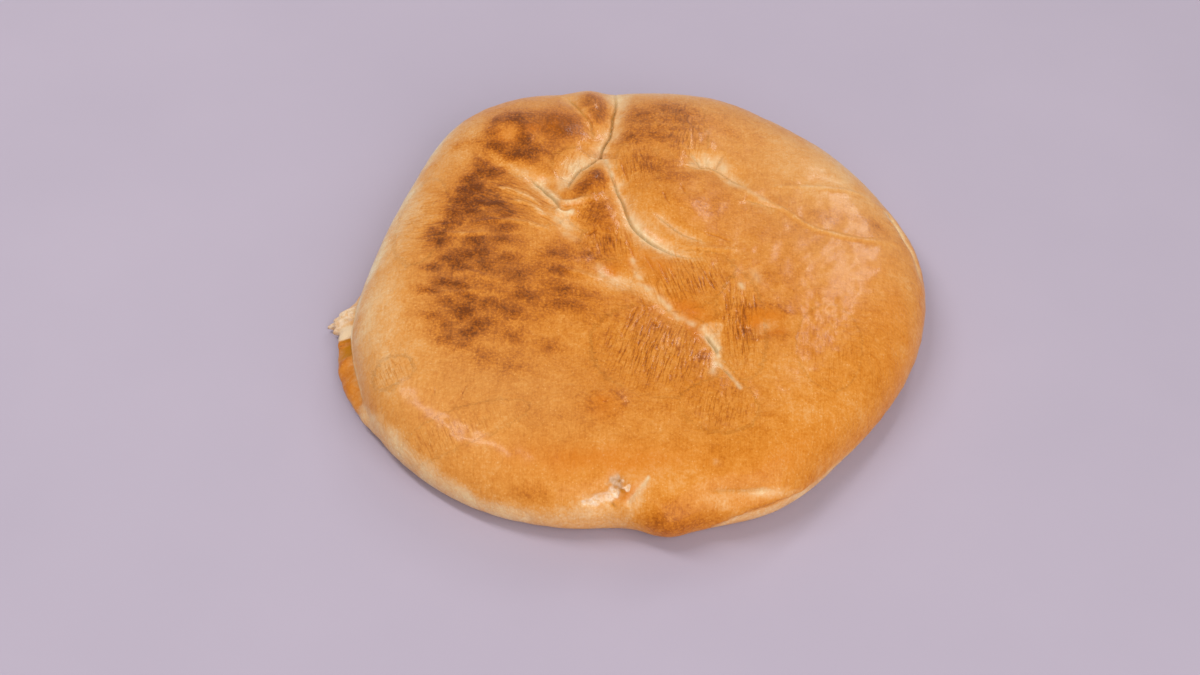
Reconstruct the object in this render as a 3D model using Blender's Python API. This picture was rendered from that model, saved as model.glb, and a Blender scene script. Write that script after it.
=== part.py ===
"""Pogacha bread: a round, flat, uncut loaf about 28 cm across, baked in one piece.

The crust is treated as a map peeled off the loaf. A place on the map is a bearing from the
loaf's middle and a distance along the crust, from the crown over the rim to the middle of the
base. The loaf starts as a plain round form, and the folds, cushions, blisters and tears are
placed on the map and sink or raise the crust from there.

Lengths are in millimetres, and MM turns them into metres. Bearings are in degrees from +X,
counted towards +Y. The loaf rests on its flat base, with the origin under its middle.
"""

import math

import bmesh
import bpy
import numpy as np

MM = 0.001

# Plain round form: how far the rim stands from the middle at each bearing, seen from above
RIM = [
    (0, 136.4), (15, 139.2), (30, 136), (45, 137), (60, 137.3), (75, 141.6), (90, 136.6), (105, 138.7),
    (120, 146.2), (133, 145), (150, 131.4), (165, 127.4), (180, 129.4), (195, 138), (207, 140.5),
    (216, 146.5), (225, 146.3), (240, 144.3), (255, 138.4), (270, 132), (285, 133.8), (300, 135),
    (315, 128.4), (330, 128.6), (345, 132.2),
]
RIM_ROUNDING = 12  # degrees either way over which the rim's course is smoothed

TOP = 33  # height of the top where the shoulder starts
CROWN = 3  # how much higher the middle stands
WIDEST = 11  # height of the widest line of the rim
SHOULDER = 34  # how far in from the rim the top starts to fall
TUCK = 14  # how far in from the rim the underside levels out
SINK = 1  # slice off the bottom that leaves the base flat, below the height of 0
BASE_FADE = 7  # distance from the base over which folds and cushions fade out
FULLNESS = 2.2  # 2 gives an elliptic shoulder, more a fuller one

# Open folds where the dough closed over itself: their course on the map, then the depth and
# half width of the slit, and of the rounded valley that leads down to it
FOLDS = {
    "long fold": (
        [(-18, 142), (-17, 128), (-16.4, 118), (-17, 107), (-18, 98), (-19, 90), (-21, 83), (-22, 77),
         (-20.5, 71), (-16.5, 60), (-14.5, 54), (-11.5, 45), (-7.5, 33), (-4.5, 25.5), (2.5, 17),
         (11, 10.5), (16, 8), (22, 6), (33, 5)], 2.8, 1.2, 3.6, 6.5,
    ),
    "back fork": (
        [(-21, 83), (-22, 79), (-24, 73), (-26.5, 70), (-29.5, 66.5), (-32.5, 63), (-35, 58.5), (-37, 53),
         (-37.5, 45)], 2.2, 1.2, 3.2, 6.0,
    ),
    "left fold": (
        [(-80, 70), (-68, 63), (-58, 57), (-54.5, 53), (-51, 48.5), (-47.5, 43), (-44.5, 39.5), (-41, 31)],
        2.0, 1.2, 2.6, 5.5,
    ),
    "nub fold": ([(-43, 126), (-38, 113), (-33, 105), (-28, 96), (-25, 84)], 1.0, 1.2, 2.2, 4.5),
    "star fold": (
        [(15, 67), (23, 68), (27, 70.5), (31, 71), (34, 70), (37.5, 68), (40, 65), (42.5, 62.5), (52, 55)],
        1.4, 1.2, 2.4, 5.5,
    ),
    "star ray left": ([(27.5, 71), (25, 74), (20.5, 80)], 0.6, 1.2, 1.2, 2.6),
    "star ray back": ([(30, 71), (30, 79)], 0.6, 1.2, 0.8, 2.6),
    "star ray right": ([(34.5, 70), (39.5, 81)], 0.6, 1.2, 1.2, 2.6),
    "shallow fold": ([(2, 38), (8, 30), (14, 24), (22, 19), (34, 15)], 0.8, 1.2, 1.0, 3.5),
    "right valley": ([(48, 48), (56, 46), (66, 41)], 0.4, 1.2, 0.8, 3.6),
    "pale seam": (
        [(-26, -5), (-17, -6), (-8, -10), (0, -14), (6, -19), (12, -25), (17, -30), (24, -34), (30, -38)],
        0.0, 1.2, 1.5, 5.5,
    ),
    "seam gap": (
        [(27.5, -36), (32, -42), (34, -46), (36, -50), (35.5, -56), (38.5, -61.5), (42.5, -67), (46, -73)],
        1.2, 1.2, 1.4, 4.5,
    ),
    "rim crease": ([(120, 55), (127, 43), (131, 34), (136, 27), (138, 10)], 1.0, 1.1, 1.4, 3.2),
    "front crease": ([(30, -125), (38, -124), (47, -123), (66, -119)], 0.9, 1.2, 0.9, 3.2),
    "tear arm": ([(6.5, -120.5), (3.5, -125), (0, -130), (-2.5, -134)], 0.8, 1.1, 0.9, 2.2),
}
FOLD_END = 0.25  # share of its course over which a fold fades in or out at each end

# Ridges of stretched crust: their course on the map, height and half width
RIDGES = {
    "lip of the left fold": (
        [(-51, 51), (-46, 44), (-40.5, 39), (-35.5, 39), (-30, 41.5), (-22, 45)], 2.4, 2.3,
    ),
    "second lip": ([(-44, 36), (-41, 30.5), (-38, 29.5), (-34.5, 31), (-31.5, 35)], 1.7, 1.8),
    "bank of the middle fold": ([(-8, 50), (-5, 36), (4, 21), (14, 14)], 0.9, 3.0),
    "right ridge": (
        [(42, 61), (50, 53), (60, 47), (70, 40), (79, 31.5), (91, 28), (98, 25.5), (110, 25.5), (126, 27)],
        0.8, 1.5,
    ),
    "far ridge": ([(57, 57.5), (65, 57.5), (80, 58.5), (95, 58.5), (116, 58)], 0.6, 1.5),
}

# Cushions and hollows: their middle on the map, half lengths along and across, the bearing
# of the long axis, and how far they raise the crust
SWELLS = {
    "nub at the back": ((-29.5, 114), 18, 8, 100, 3.4),
    "back left cushion": ((-62, 94), 26, 22, 0, 2.4),
    "fork cushion": ((-27, 55), 11, 7, 60, 2.8),
    "back right cushion": ((12, 100), 28, 25, 90, 3.0),
    "middle right cushion": ((14, 46), 22, 15, 120, 2.4),
    "right cushion": ((80, 76), 42, 22, 140, 1.8),
    "toasted cushion": ((-68, 0), 54, 34, 80, 2.4),
    "front right cushion": ((80, -50), 58, 38, 60, 1.8),
    "front left cushion": ((-40, -86), 46, 22, 0, 1.2),
    "middle hollow": ((-12, 2), 44, 17, 125, -2.2),
    "seam hollow": ((26, -40), 28, 13, 135, -2.0),
    "dimple": ((56, -34), 8, 6, 0, -1.6),
    "front blister": ((17, -140), 13, 11, 0, 5.4),
    "front notch": ((-10, -146), 16, 9, 0, -1.6),
    "front tear": ((-11, -131), 9, 5, 45, -2.2),
    "front tear hollow": ((-7, -125), 4.6, 3.2, 105, -2.8),
    "bubble": ((-13, -86), 7, 7.5, 0, 0.9),
    "bubble's sunk middle": ((-15, -87), 4, 3.5, 0, -0.9),
    "blister ring": ((-69, 84), 13, 13, 0, 1.6),
    "blister ring's middle": ((-69, 82.5), 6, 6, 0, -1.0),
    "back patch": ((-44, 94), 9, 9, 0, 1.2),
}

# Crust edge that bulges over the paler side at the front right: course, step and width
OVERHANG = ([(31, -149), (44, -136), (59, -128), (74, -120), (93, -108)], 1.8, 7.0)
OVERHANG_EASE = 0.5  # how far either side of its course the step rises

# Torn seam along the left rim: a lower lip of dough stands out under the crust's edge.
# How far the lip stands out at each bearing, and the groove and the gap above it
LIP = [
    (176, 0), (180, 1.5), (183, 4), (186, 7.5), (189, 9), (193, 8.5), (201, 9), (206, 7.5), (210, 5),
    (214, 3), (218, 0),
]
LIP_BELOW = 4.5  # middle of the lip below the widest line
LIP_HALF = 4.0
GROOVE_DEPTH = 2.4
GROOVE_HALF = 1.6
GAP_BEARING = 196.5
GAP_HALF = (6.0, 2.4)
GAP_DEPTH = 6.0
GAP_BELOW = 1.0  # middle of the gap below the widest line

# Crumbs of torn crust that cling to the lip's upper end: bearing, distance below the widest
# line, radius and how far they stand out
CRUMBS = [(187.2, 1.2, 2.4, 4.0), (188.8, 1.4, 2.1, 3.4), (188.0, 4.2, 2.3, 3.0), (189.7, 2.6, 1.9, 1.8)]

# Mesh: fine enough for the slits, then thinned out where the crust is smooth
SPOKES = 420
TOP_RINGS = 84
RIM_RINGS = 44
BASE_RINGS = 5
KEPT_SHARE = 0.084

# Block that slices the bottom off: wider than the loaf, and deeper than what it slices off
SLICER_SIDE = 400
SLICER_HEIGHT = 20

CORNER_CUT = 0.25  # share of each stretch of a course that rounding takes off at its ends

CRUST_COLOUR = (0.69, 0.28, 0.075, 1.0)
CRUST_ROUGHNESS = 0.55


def rim_distance(bearing):
    """Distance of the rim from the middle: the listed course, rounded over a few degrees."""
    at, distance = np.array(RIM, float).T
    offsets = np.linspace(-RIM_ROUNDING, RIM_ROUNDING, 2 * RIM_ROUNDING + 1)
    weights = np.cos(offsets / RIM_ROUNDING * math.pi / 2) ** 2
    total = sum(
        weight * np.interp(bearing + offset, at, distance, period=360)
        for offset, weight in zip(offsets, weights)
    )
    return total / weights.sum()


def rim_profile(steps=160):
    """Section of the rim from the shoulder to the base: inset, height and length so far."""
    turn = np.linspace(0, math.pi / 2, steps)
    power = 2 / FULLNESS
    upper_inset = SHOULDER * (1 - np.sin(turn) ** power)
    upper_height = WIDEST + (TOP - WIDEST) * np.cos(turn).clip(0) ** power
    lower_inset = TUCK * (1 - np.cos(turn[1:]))
    lower_height = WIDEST - (WIDEST + SINK) * np.sin(turn[1:])
    inset = np.concatenate([upper_inset, lower_inset])
    height = np.concatenate([upper_height, lower_height])
    length = np.concatenate([[0], np.cumsum(np.hypot(np.diff(inset), np.diff(height)))])
    return inset, height, length, length[steps - 1]


def plain_form(bearing, along):
    """Point of the plain round form and the direction the crust faces there."""
    inset, height, length, to_widest = rim_profile()
    rim = rim_distance(bearing)
    past = along - (rim - SHOULDER)
    out = np.where(past > 0, rim - np.interp(past, length, inset), along)
    out = np.where(past > length[-1], rim - TUCK - (past - length[-1]), out)
    up = np.interp(past, length, height)
    crown = CROWN * (1 - np.clip(out / rim, 0, 1) ** 2) ** 2
    up = np.where(past < to_widest, up + crown, up)
    slope_out = np.gradient(out, axis=1)
    slope_up = np.gradient(up, axis=1)
    size = np.hypot(slope_out, slope_up)
    return out, up, -slope_up / size, slope_out / size, past - to_widest


def rounded(course, times=2):
    """The course with its corners cut off, so that it runs in curves."""
    course = np.array(course, float)
    for _ in range(times):
        near = (1 - CORNER_CUT) * course[:-1] + CORNER_CUT * course[1:]
        far = CORNER_CUT * course[:-1] + (1 - CORNER_CUT) * course[1:]
        middle = np.stack([near, far], axis=1).reshape(-1, 2)
        course = np.vstack([course[:1], middle, course[-1:]])
    return course


def beside(course, x, y):
    """Distance of each place from the course, positive on its left, and the run along it."""
    gap = np.full(x.shape, np.inf)
    run = np.zeros(x.shape)
    side = np.ones(x.shape)
    done = 0.0
    for start, end in zip(course[:-1], course[1:]):
        step = end - start
        length = math.hypot(*step)
        ahead, across = x - start[0], y - start[1]
        part = np.clip((ahead * step[0] + across * step[1]) / length**2, 0, 1)
        distance = np.hypot(ahead - part * step[0], across - part * step[1])
        closer = distance < gap
        gap = np.where(closer, distance, gap)
        run = np.where(closer, done + part * length, run)
        left = step[0] * across - step[1] * ahead
        side = np.where(closer, np.where(left < 0, -1, 1), side)
        done += length
    return gap * side, run, done


def eased(value):
    """0 below 0, 1 above 1, and a smooth rise between."""
    value = np.clip(value, 0, 1)
    return value * value * (3 - 2 * value)


def bell(distance, half):
    """1 at no distance, falling smoothly to a third at the half width."""
    return np.exp(-((distance / half) ** 2))


def faded(run, length):
    """1 along the middle of a course, easing to 0 at its two ends."""
    return eased(run / (FOLD_END * length)) * eased((length - run) / (FOLD_END * length))


def fold_relief(x, y):
    relief = np.zeros(x.shape)
    for course, slit_depth, slit_half, valley_depth, valley_half in FOLDS.values():
        gap, run, length = beside(rounded(course), x, y)
        fade = faded(run, length)
        relief -= fade * slit_depth * bell(gap, slit_half)
        relief -= fade * valley_depth * bell(gap, valley_half)
    return relief


def ridge_relief(x, y):
    relief = np.zeros(x.shape)
    for course, rise, half in RIDGES.values():
        gap, run, length = beside(rounded(course), x, y)
        fade = faded(run, length)
        relief += fade * rise * bell(gap, half)
    return relief


def swell_relief(x, y):
    relief = np.zeros(x.shape)
    for (middle_x, middle_y), half_long, half_wide, bearing, rise in SWELLS.values():
        turn = math.radians(bearing)
        ahead = (x - middle_x) * math.cos(turn) + (y - middle_y) * math.sin(turn)
        across = (y - middle_y) * math.cos(turn) - (x - middle_x) * math.sin(turn)
        relief += rise * bell(np.hypot(ahead / half_long, across / half_wide), 1)
    return relief


def overhang_relief(x, y):
    course, step, width = OVERHANG
    gap, run, length = beside(rounded(course), x, y)
    return faded(run, length) * step * eased(gap + OVERHANG_EASE) * bell(np.maximum(gap, 0), width)


def torn_seam_relief(bearing, below):
    """The lip under the torn seam, the groove and the gap between it and the crust's edge."""
    at, out = np.array(LIP, float).T
    lip = np.interp(bearing, at, out, left=0, right=0)
    open_share = np.clip(lip / max(out), 0, 1)
    relief = lip * bell(below - LIP_BELOW, LIP_HALF)
    relief -= GROOVE_DEPTH * open_share * bell(below, GROOVE_HALF)
    arc = math.radians(1) * rim_distance(bearing)
    gap_along = (bearing - GAP_BEARING) * arc / GAP_HALF[0]
    relief -= GAP_DEPTH * bell(np.hypot(gap_along, (below - GAP_BELOW) / GAP_HALF[1]), 1)
    for crumb_bearing, crumb_below, radius, stand in CRUMBS:
        away = np.hypot((bearing - crumb_bearing) * arc, below - crumb_below)
        relief += stand * bell(away, radius)
    return relief


def crust_points():
    """Rings of points from the crown to the middle of the base, one ring for each row."""
    bearing = np.arange(SPOKES) * 360 / SPOKES
    rim = rim_distance(bearing)[:, None]
    inset, height, length, to_widest = rim_profile()
    top = np.linspace(0, 1, TOP_RINGS + 1)[1:] * (rim - SHOULDER)
    side = rim - SHOULDER + np.linspace(0, 1, RIM_RINGS + 1)[1:] * length[-1]
    base = side[:, -1:] + np.linspace(0, 1, BASE_RINGS + 2)[1:-1] * (rim - TUCK)
    along = np.hstack([top, side, base])
    bearing = np.repeat(bearing[:, None], along.shape[1], axis=1)
    out, up, face_out, face_up, below = plain_form(bearing, along)
    turn = np.radians(bearing)
    x, y = along * np.cos(turn), along * np.sin(turn)
    relief = fold_relief(x, y) + ridge_relief(x, y) + swell_relief(x, y)
    relief += overhang_relief(x, y) + torn_seam_relief(bearing, below)
    relief *= eased((length[-1] - to_widest - below) / BASE_FADE)
    out, up = out + relief * face_out, up + relief * face_up
    up = np.maximum(up, -SINK)
    points = np.stack([out * np.cos(turn), out * np.sin(turn), up], axis=-1)
    crown = relief[:, 0].mean() + TOP + CROWN
    return points.transpose(1, 0, 2), crown


def add_loaf(name):
    """The loaf as one closed body: rings of the crust, closed at the crown and the base."""
    rings, crown = crust_points()
    mesh = bmesh.new()
    rows = [[mesh.verts.new(point * MM) for point in ring] for ring in rings]
    top = mesh.verts.new((0, 0, crown * MM))
    for upper, lower in zip(rows[:-1], rows[1:]):
        for i in range(SPOKES):
            mesh.faces.new((upper[i - 1], lower[i - 1], lower[i], upper[i]))
    for i in range(SPOKES):
        mesh.faces.new((top, rows[0][i - 1], rows[0][i]))
    mesh.faces.new(list(reversed(rows[-1])))
    bmesh.ops.triangulate(mesh, faces=mesh.faces[:])
    corners = np.array([vert.co for vert in mesh.verts])
    middle = (corners.min(axis=0) + corners.max(axis=0)) / 2
    bmesh.ops.translate(mesh, verts=mesh.verts, vec=(-middle[0], -middle[1], 0))
    data = bpy.data.meshes.new(name)
    mesh.to_mesh(data)
    mesh.free()
    data.shade_smooth()
    loaf = bpy.data.objects.new(name, data)
    bpy.context.collection.objects.link(loaf)
    thin = loaf.modifiers.new("Thin out the smooth crust", "DECIMATE")
    thin.ratio = KEPT_SHARE
    return loaf


def slice_flat(loaf):
    """Cuts the bottom of the loaf off level, at the height of 0."""
    slicer_mesh = bmesh.new()
    bmesh.ops.create_cube(slicer_mesh, size=1)
    size = (SLICER_SIDE * MM, SLICER_SIDE * MM, SLICER_HEIGHT * MM)
    bmesh.ops.scale(slicer_mesh, verts=slicer_mesh.verts, vec=size)
    data = bpy.data.meshes.new("slicer")
    slicer_mesh.to_mesh(data)
    slicer_mesh.free()
    slicer = bpy.data.objects.new("slicer", data)
    slicer.location.z = -SLICER_HEIGHT * MM / 2
    slicer.hide_render = True
    slicer.display_type = "WIRE"
    bpy.context.collection.objects.link(slicer)
    cut = loaf.modifiers.new("Slice the base flat", "BOOLEAN")
    cut.operation = "DIFFERENCE"
    cut.object = slicer


def baked_crust():
    """Golden baked wheat crust, slightly glossy."""
    crust = bpy.data.materials.new("Baked crust")
    crust.use_nodes = True
    surface = crust.node_tree.nodes["Principled BSDF"]
    surface.inputs["Base Color"].default_value = CRUST_COLOUR
    surface.inputs["Roughness"].default_value = CRUST_ROUGHNESS
    surface.inputs["Metallic"].default_value = 0.0
    return crust


for existing in list(bpy.data.objects):
    bpy.data.objects.remove(existing, do_unlink=True)

bread = add_loaf("bread")
slice_flat(bread)
bread.data.materials.append(baked_crust())
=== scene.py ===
import math

import bmesh
import bpy
import numpy as np
from mathutils import Matrix, Quaternion, Vector


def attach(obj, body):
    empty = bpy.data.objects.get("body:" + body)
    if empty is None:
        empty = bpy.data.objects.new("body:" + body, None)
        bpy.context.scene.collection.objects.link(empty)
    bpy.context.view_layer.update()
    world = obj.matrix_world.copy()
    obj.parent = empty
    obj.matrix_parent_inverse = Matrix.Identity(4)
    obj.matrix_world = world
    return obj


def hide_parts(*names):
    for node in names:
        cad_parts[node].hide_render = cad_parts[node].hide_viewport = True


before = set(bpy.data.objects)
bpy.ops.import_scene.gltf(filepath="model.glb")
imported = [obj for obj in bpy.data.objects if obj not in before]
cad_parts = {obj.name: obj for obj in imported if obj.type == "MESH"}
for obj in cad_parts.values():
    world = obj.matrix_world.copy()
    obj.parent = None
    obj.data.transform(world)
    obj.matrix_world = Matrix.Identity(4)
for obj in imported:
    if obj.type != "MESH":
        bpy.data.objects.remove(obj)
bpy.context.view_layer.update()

# The loaf
# A flat round loaf of white wheat dough, shaped by hand and baked on the floor of an oven. Its
# rim bulges out over a tucked-in underside. A place on its crust is given as on a map peeled
# off it: a bearing from the middle and a distance from the crown along the crust, in mm.
MM = 0.001

# Course of the rim seen from above: bearing and distance from the middle
RIM = [
    (0, 136.4), (15, 139.2), (30, 136), (45, 137), (60, 137.3), (75, 141.6), (90, 136.6), (105, 138.7),
    (120, 146.2), (133, 145), (150, 131.4), (165, 127.4), (180, 129.4), (195, 138), (207, 140.5),
    (216, 146.5), (225, 146.3), (240, 144.3), (255, 138.4), (270, 132), (285, 133.8), (300, 135),
    (315, 128.4), (330, 128.6), (345, 132.2),
]
RIM_ROUNDING = 12  # degrees either way over which the rim's course is smoothed
MIDDLE = (-3.12, 0.48)  # place on the map that lies over the middle of the base
TOP = 33  # height of the top where the shoulder starts
CROWN = 3  # how much higher the middle stands
WIDEST = 11  # height of the widest line of the rim
SHOULDER = 34  # how far in from the rim the top starts to fall
TUCK = 14  # how far in from the rim the underside levels out
SINK = 1  # how far the underside would reach below the flat base
FULLNESS = 2.2  # 2 gives an elliptic shoulder, more a fuller one


def rim_distance(bearing):
    """Distance of the rim from the middle: the listed course, rounded over a few degrees."""
    at, distance = np.array(RIM, float).T
    offsets = np.linspace(-RIM_ROUNDING, RIM_ROUNDING, 2 * RIM_ROUNDING + 1)
    weights = np.cos(offsets / RIM_ROUNDING * math.pi / 2) ** 2
    total = sum(
        weight * np.interp(bearing + offset, at, distance, period=360)
        for offset, weight in zip(offsets, weights)
    )
    return total / weights.sum()


def rim_profile(steps=160):
    """Section of the rim, shoulder to base: inset, height, run so far and run to its widest."""
    turn = np.linspace(0, math.pi / 2, steps)
    power = 2 / FULLNESS
    upper_inset = SHOULDER * (1 - np.sin(turn) ** power)
    upper_height = WIDEST + (TOP - WIDEST) * np.cos(turn).clip(0) ** power
    lower_inset = TUCK * (1 - np.cos(turn[1:]))
    lower_height = WIDEST - (WIDEST + SINK) * np.sin(turn[1:])
    inset = np.concatenate([upper_inset, lower_inset])
    height = np.concatenate([upper_height, lower_height])
    length = np.concatenate([[0], np.cumsum(np.hypot(np.diff(inset), np.diff(height)))])
    return inset, height, length, length[steps - 1]


INSET, HEIGHT, LENGTH, TO_WIDEST = rim_profile()


def plain_form(rim, along):
    """Distance out and height of a place on the plain loaf, along the crust from the crown."""
    over = along - (rim - SHOULDER)
    out = np.where(over > 0, rim - np.interp(over, LENGTH, INSET), along)
    out = np.where(over > LENGTH[-1], rim - TUCK - (over - LENGTH[-1]), out)
    up = np.interp(over, LENGTH, HEIGHT)
    crown = CROWN * (1 - np.clip(out / rim, 0, 1) ** 2) ** 2
    return out, np.where(over < TO_WIDEST, up + crown, up)


# The folds
# Where the dough closed over itself it baked into open folds: a rounded valley with paler banks,
# because dough that lay folded in browned less, and a slit at its bottom, darkened with painted
# shade and an olive-brown tint.

# Course on the map, depth and half width of the slit and of the valley, half width and
# paleness of the banks, how dark the slit's painted shade shows, and the shares of the course
# over which the fold opens and closes
FOLDS = {
    "back fold": (
        [(-18, 142), (-17, 128), (-16.4, 118), (-17, 107), (-18, 98), (-19, 90), (-21, 83), (-22.5, 77.5),
         (-23.5, 73)],
        1.8, 0.60, 3.6, 6.5, 5.0, 0.27, 0.9, 0.5, 0.02,
    ),
    "back fork": (
        [(-22, 79), (-24, 73), (-26.5, 70), (-29.5, 66.5), (-32.5, 63), (-35, 58.5), (-37, 53), (-37.5, 45)],
        1.3, 0.55, 3.2, 6.0, 5.2, 0.27, 0.75, 0.02, 0.3,
    ),
    "middle fold": (
        [(-22, 78), (-20.5, 71), (-16.5, 60), (-14.5, 54), (-11.5, 45), (-7.5, 33), (-4.5, 25.5), (2.5, 17),
         (11, 10.5), (16, 8), (22, 6), (33, 5)],
        1.4, 0.56, 3.0, 6.0, 4.0, 0.30, 0.85, 0.32, 0.35,
    ),
    "left groove": (
        [(-80, 70), (-68, 63), (-56, 56), (-50, 46)],
        0.0, 1.0, 1.6, 5.0, 4.5, 0.26, 0.0, 0.4, 0.3,
    ),
    "left fold": (
        [(-58, 58), (-54.5, 54.3), (-51, 49.8), (-47.5, 44.5), (-44, 40.5), (-41.5, 36), (-39.5, 31)],
        1.4, 0.52, 2.6, 5.5, 4.5, 0.34, 0.85, 0.3, 0.3,
    ),
    "nub fold": (
        [(-43, 126), (-38, 113), (-33, 105), (-28, 96), (-25, 84)],
        0.8, 0.45, 2.2, 4.5, 3.5, 0.20, 0.55, 0.3, 0.3,
    ),
    "star fold": (
        [(15, 67), (23, 68), (27, 70.5), (31, 71), (34, 70), (37.5, 68), (40, 65), (42.5, 62.5), (52, 55)],
        1.0, 0.42, 2.6, 5.5, 3.6, 0.24, 0.65, 0.35, 0.35,
    ),
    "star ray left": ([(27.5, 71), (25, 74), (20.5, 80)], 0.5, 0.5, 1.2, 2.4, 2.2, 0.18, 0.45, 0.1, 0.4),
    "star ray back": ([(30, 71), (30, 79)], 0.5, 0.6, 0.8, 2.2, 2.2, 0.16, 0.22, 0.1, 0.5),
    "star ray right": ([(34.5, 70), (39.5, 81)], 0.7, 0.45, 1.2, 2.4, 2.2, 0.20, 0.45, 0.1, 0.5),
    "shallow fold": (
        [(2, 38), (8, 30), (14, 24), (22, 19), (34, 15)],
        0.6, 0.5, 1.0, 3.5, 2.4, 0.14, 0.5, 0.3, 0.4,
    ),
    "right valley": ([(48, 48), (56, 46), (66, 41)], 0.4, 0.42, 0.8, 3.4, 2.4, 0.14, 0.4, 0.2, 0.5),
    "pale seam": (
        [(-26, -5), (-17, -6), (-8, -10), (0, -14), (6, -19), (12, -25), (17, -30), (24, -34), (30, -38)],
        0.0, 1.0, 1.5, 5.5, 3.6, 0.12, 0.0, 0.3, 0.1,
    ),
    "seam branch": (
        [(-5, 8), (-3.5, 1), (-1.5, -6), (1, -12)],
        0.0, 1.0, 0.6, 3.0, 2.4, 0.13, 0.0, 0.3, 0.3,
    ),
    "seam gap": (
        [
            (27.5, -36), (32, -42), (34, -46), (36, -50), (35.5, -56), (38.5, -61.5), (42.5, -67),
            (46, -73),
        ],
        0.0, 1.0, 1.2, 4.5, 2.2, 0.17, 0.0, 0.08, 0.9,
    ),
    "upper slit of the gap": (
        [(29.5, -38.5), (32.5, -43.5), (35, -49), (35.4, -53)],
        1.1, 0.6, 0.2, 2.0, 1.0, 0.0, 0.85, 0.2, 0.3,
    ),
    "lower slit of the gap": (
        [(36.5, -58), (39.5, -63), (43, -68)],
        0.7, 0.45, 0.2, 2.0, 1.0, 0.0, 0.6, 0.4, 0.4,
    ),
    "rim crease": (
        [(120, 55), (127, 43), (131, 34), (136, 27), (138, 10)],
        1.0, 0.7, 1.4, 3.0, 3.4, 0.34, 0.7, 0.2, 0.3,
    ),
    "front crease": (
        [(30, -125), (38, -124), (47, -123), (66, -119)],
        0.5, 0.6, 0.9, 3.0, 1.6, 0.06, 0.30, 0.3, 0.3,
    ),
    "tear arm": (
        [(6.5, -120.5), (3.5, -125), (0, -130), (-2.5, -134)],
        0.6, 0.5, 0.9, 1.8, 1.2, 0.24, 0.15, 0.3, 0.2,
    ),
}
# The slits' dark colour is painted shade, with an olive-brown tint
SLIT_SHADE_SHARE = 0.72  # how much of the crust's colour the darkest slit takes away

# Unevenness is listed in layers: how strong it is, how large its lumps are in mm, and its seed
FOLD_WANDER = ([(0.6, 7.0, 1)], [(0.6, 7.0, 2)])
BANK_UNEVEN = [(0.5, 5.5, 3)]
RIDGE_UNEVEN = [(0.5, 4.5, 4)]
RIDGE_PLAIN = 0.75  # how strongly a ridge's pale streak shows before its unevenness
RIDGE_LIMITS = (0.5, 1.2)
RIDGE_SPREAD = 1.2  # how much wider than the ridge its pale streak is

# Thin ridges where the crust was stretched tight: course, height, half width and paleness
RIDGES = {
    "lip of the left fold": (
        [(-50, 50), (-45.5, 43.5), (-41, 38.2), (-35.5, 37.2), (-30, 39), (-22, 42.5)],
        2.6, 2.2, 0.36,
    ),
    "second lip": ([(-44, 36), (-41, 30.5), (-38, 29.5), (-34.5, 31), (-31.5, 35)], 1.9, 1.6, 0.40),
    "bank of the middle fold": ([(-8, 50), (-5, 36), (4, 21), (14, 14)], 0.9, 3.0, 0.10),
    "right ridge": (
        [(42, 61), (50, 53), (60, 47), (70, 40), (79, 31.5), (91, 28), (98, 25.5), (110, 25.5), (126, 27)],
        0.8, 1.1, 0.20,
    ),
    "far ridge": ([(57, 57.5), (65, 57.5), (80, 58.5), (95, 58.5), (116, 58)], 0.6, 1.0, 0.17),
    "star streak 1": ([(15, 85), (22, 77)], 0.2, 0.9, 0.16),
    "star streak 2": ([(21, 94), (21.5, 80)], 0.2, 0.8, 0.16),
    "stretch line 1": ([(-78, 70), (-64, 61), (-55, 56)], 0.8, 1.8, 0.24),
    "stretch line 2": ([(-75, 45), (-67, 45), (-58, 42), (-46, 31)], 0.8, 1.2, 0.30),
    "stretch line 3": ([(-68, 36), (-60, 37), (-54, 34), (-44, 26)], 0.8, 1.2, 0.28),
    "stretch line 4": ([(-84, 20), (-68, 23), (-53, 21), (-40, 16)], 0.7, 1.3, 0.18),
    "stretch line 5": ([(14, 14), (24, 12), (40, 12), (52, 14)], 0.4, 1.3, 0.12),
    "stretch line 6": ([(-98, 14), (-84, 12), (-70, 14)], 0.5, 1.3, 0.14),
    "stretch line 7": ([(-92, -12), (-76, -13), (-62, -18)], 0.5, 1.4, 0.14),
    "stretch line 8": ([(-94, -24), (-82, -26), (-70, -22)], 0.4, 1.4, 0.12),
    "toasted ridge": ([(-40, -5), (-30, -9), (-18, -10)], 0.5, 1.4, 0.12),
}

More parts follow.
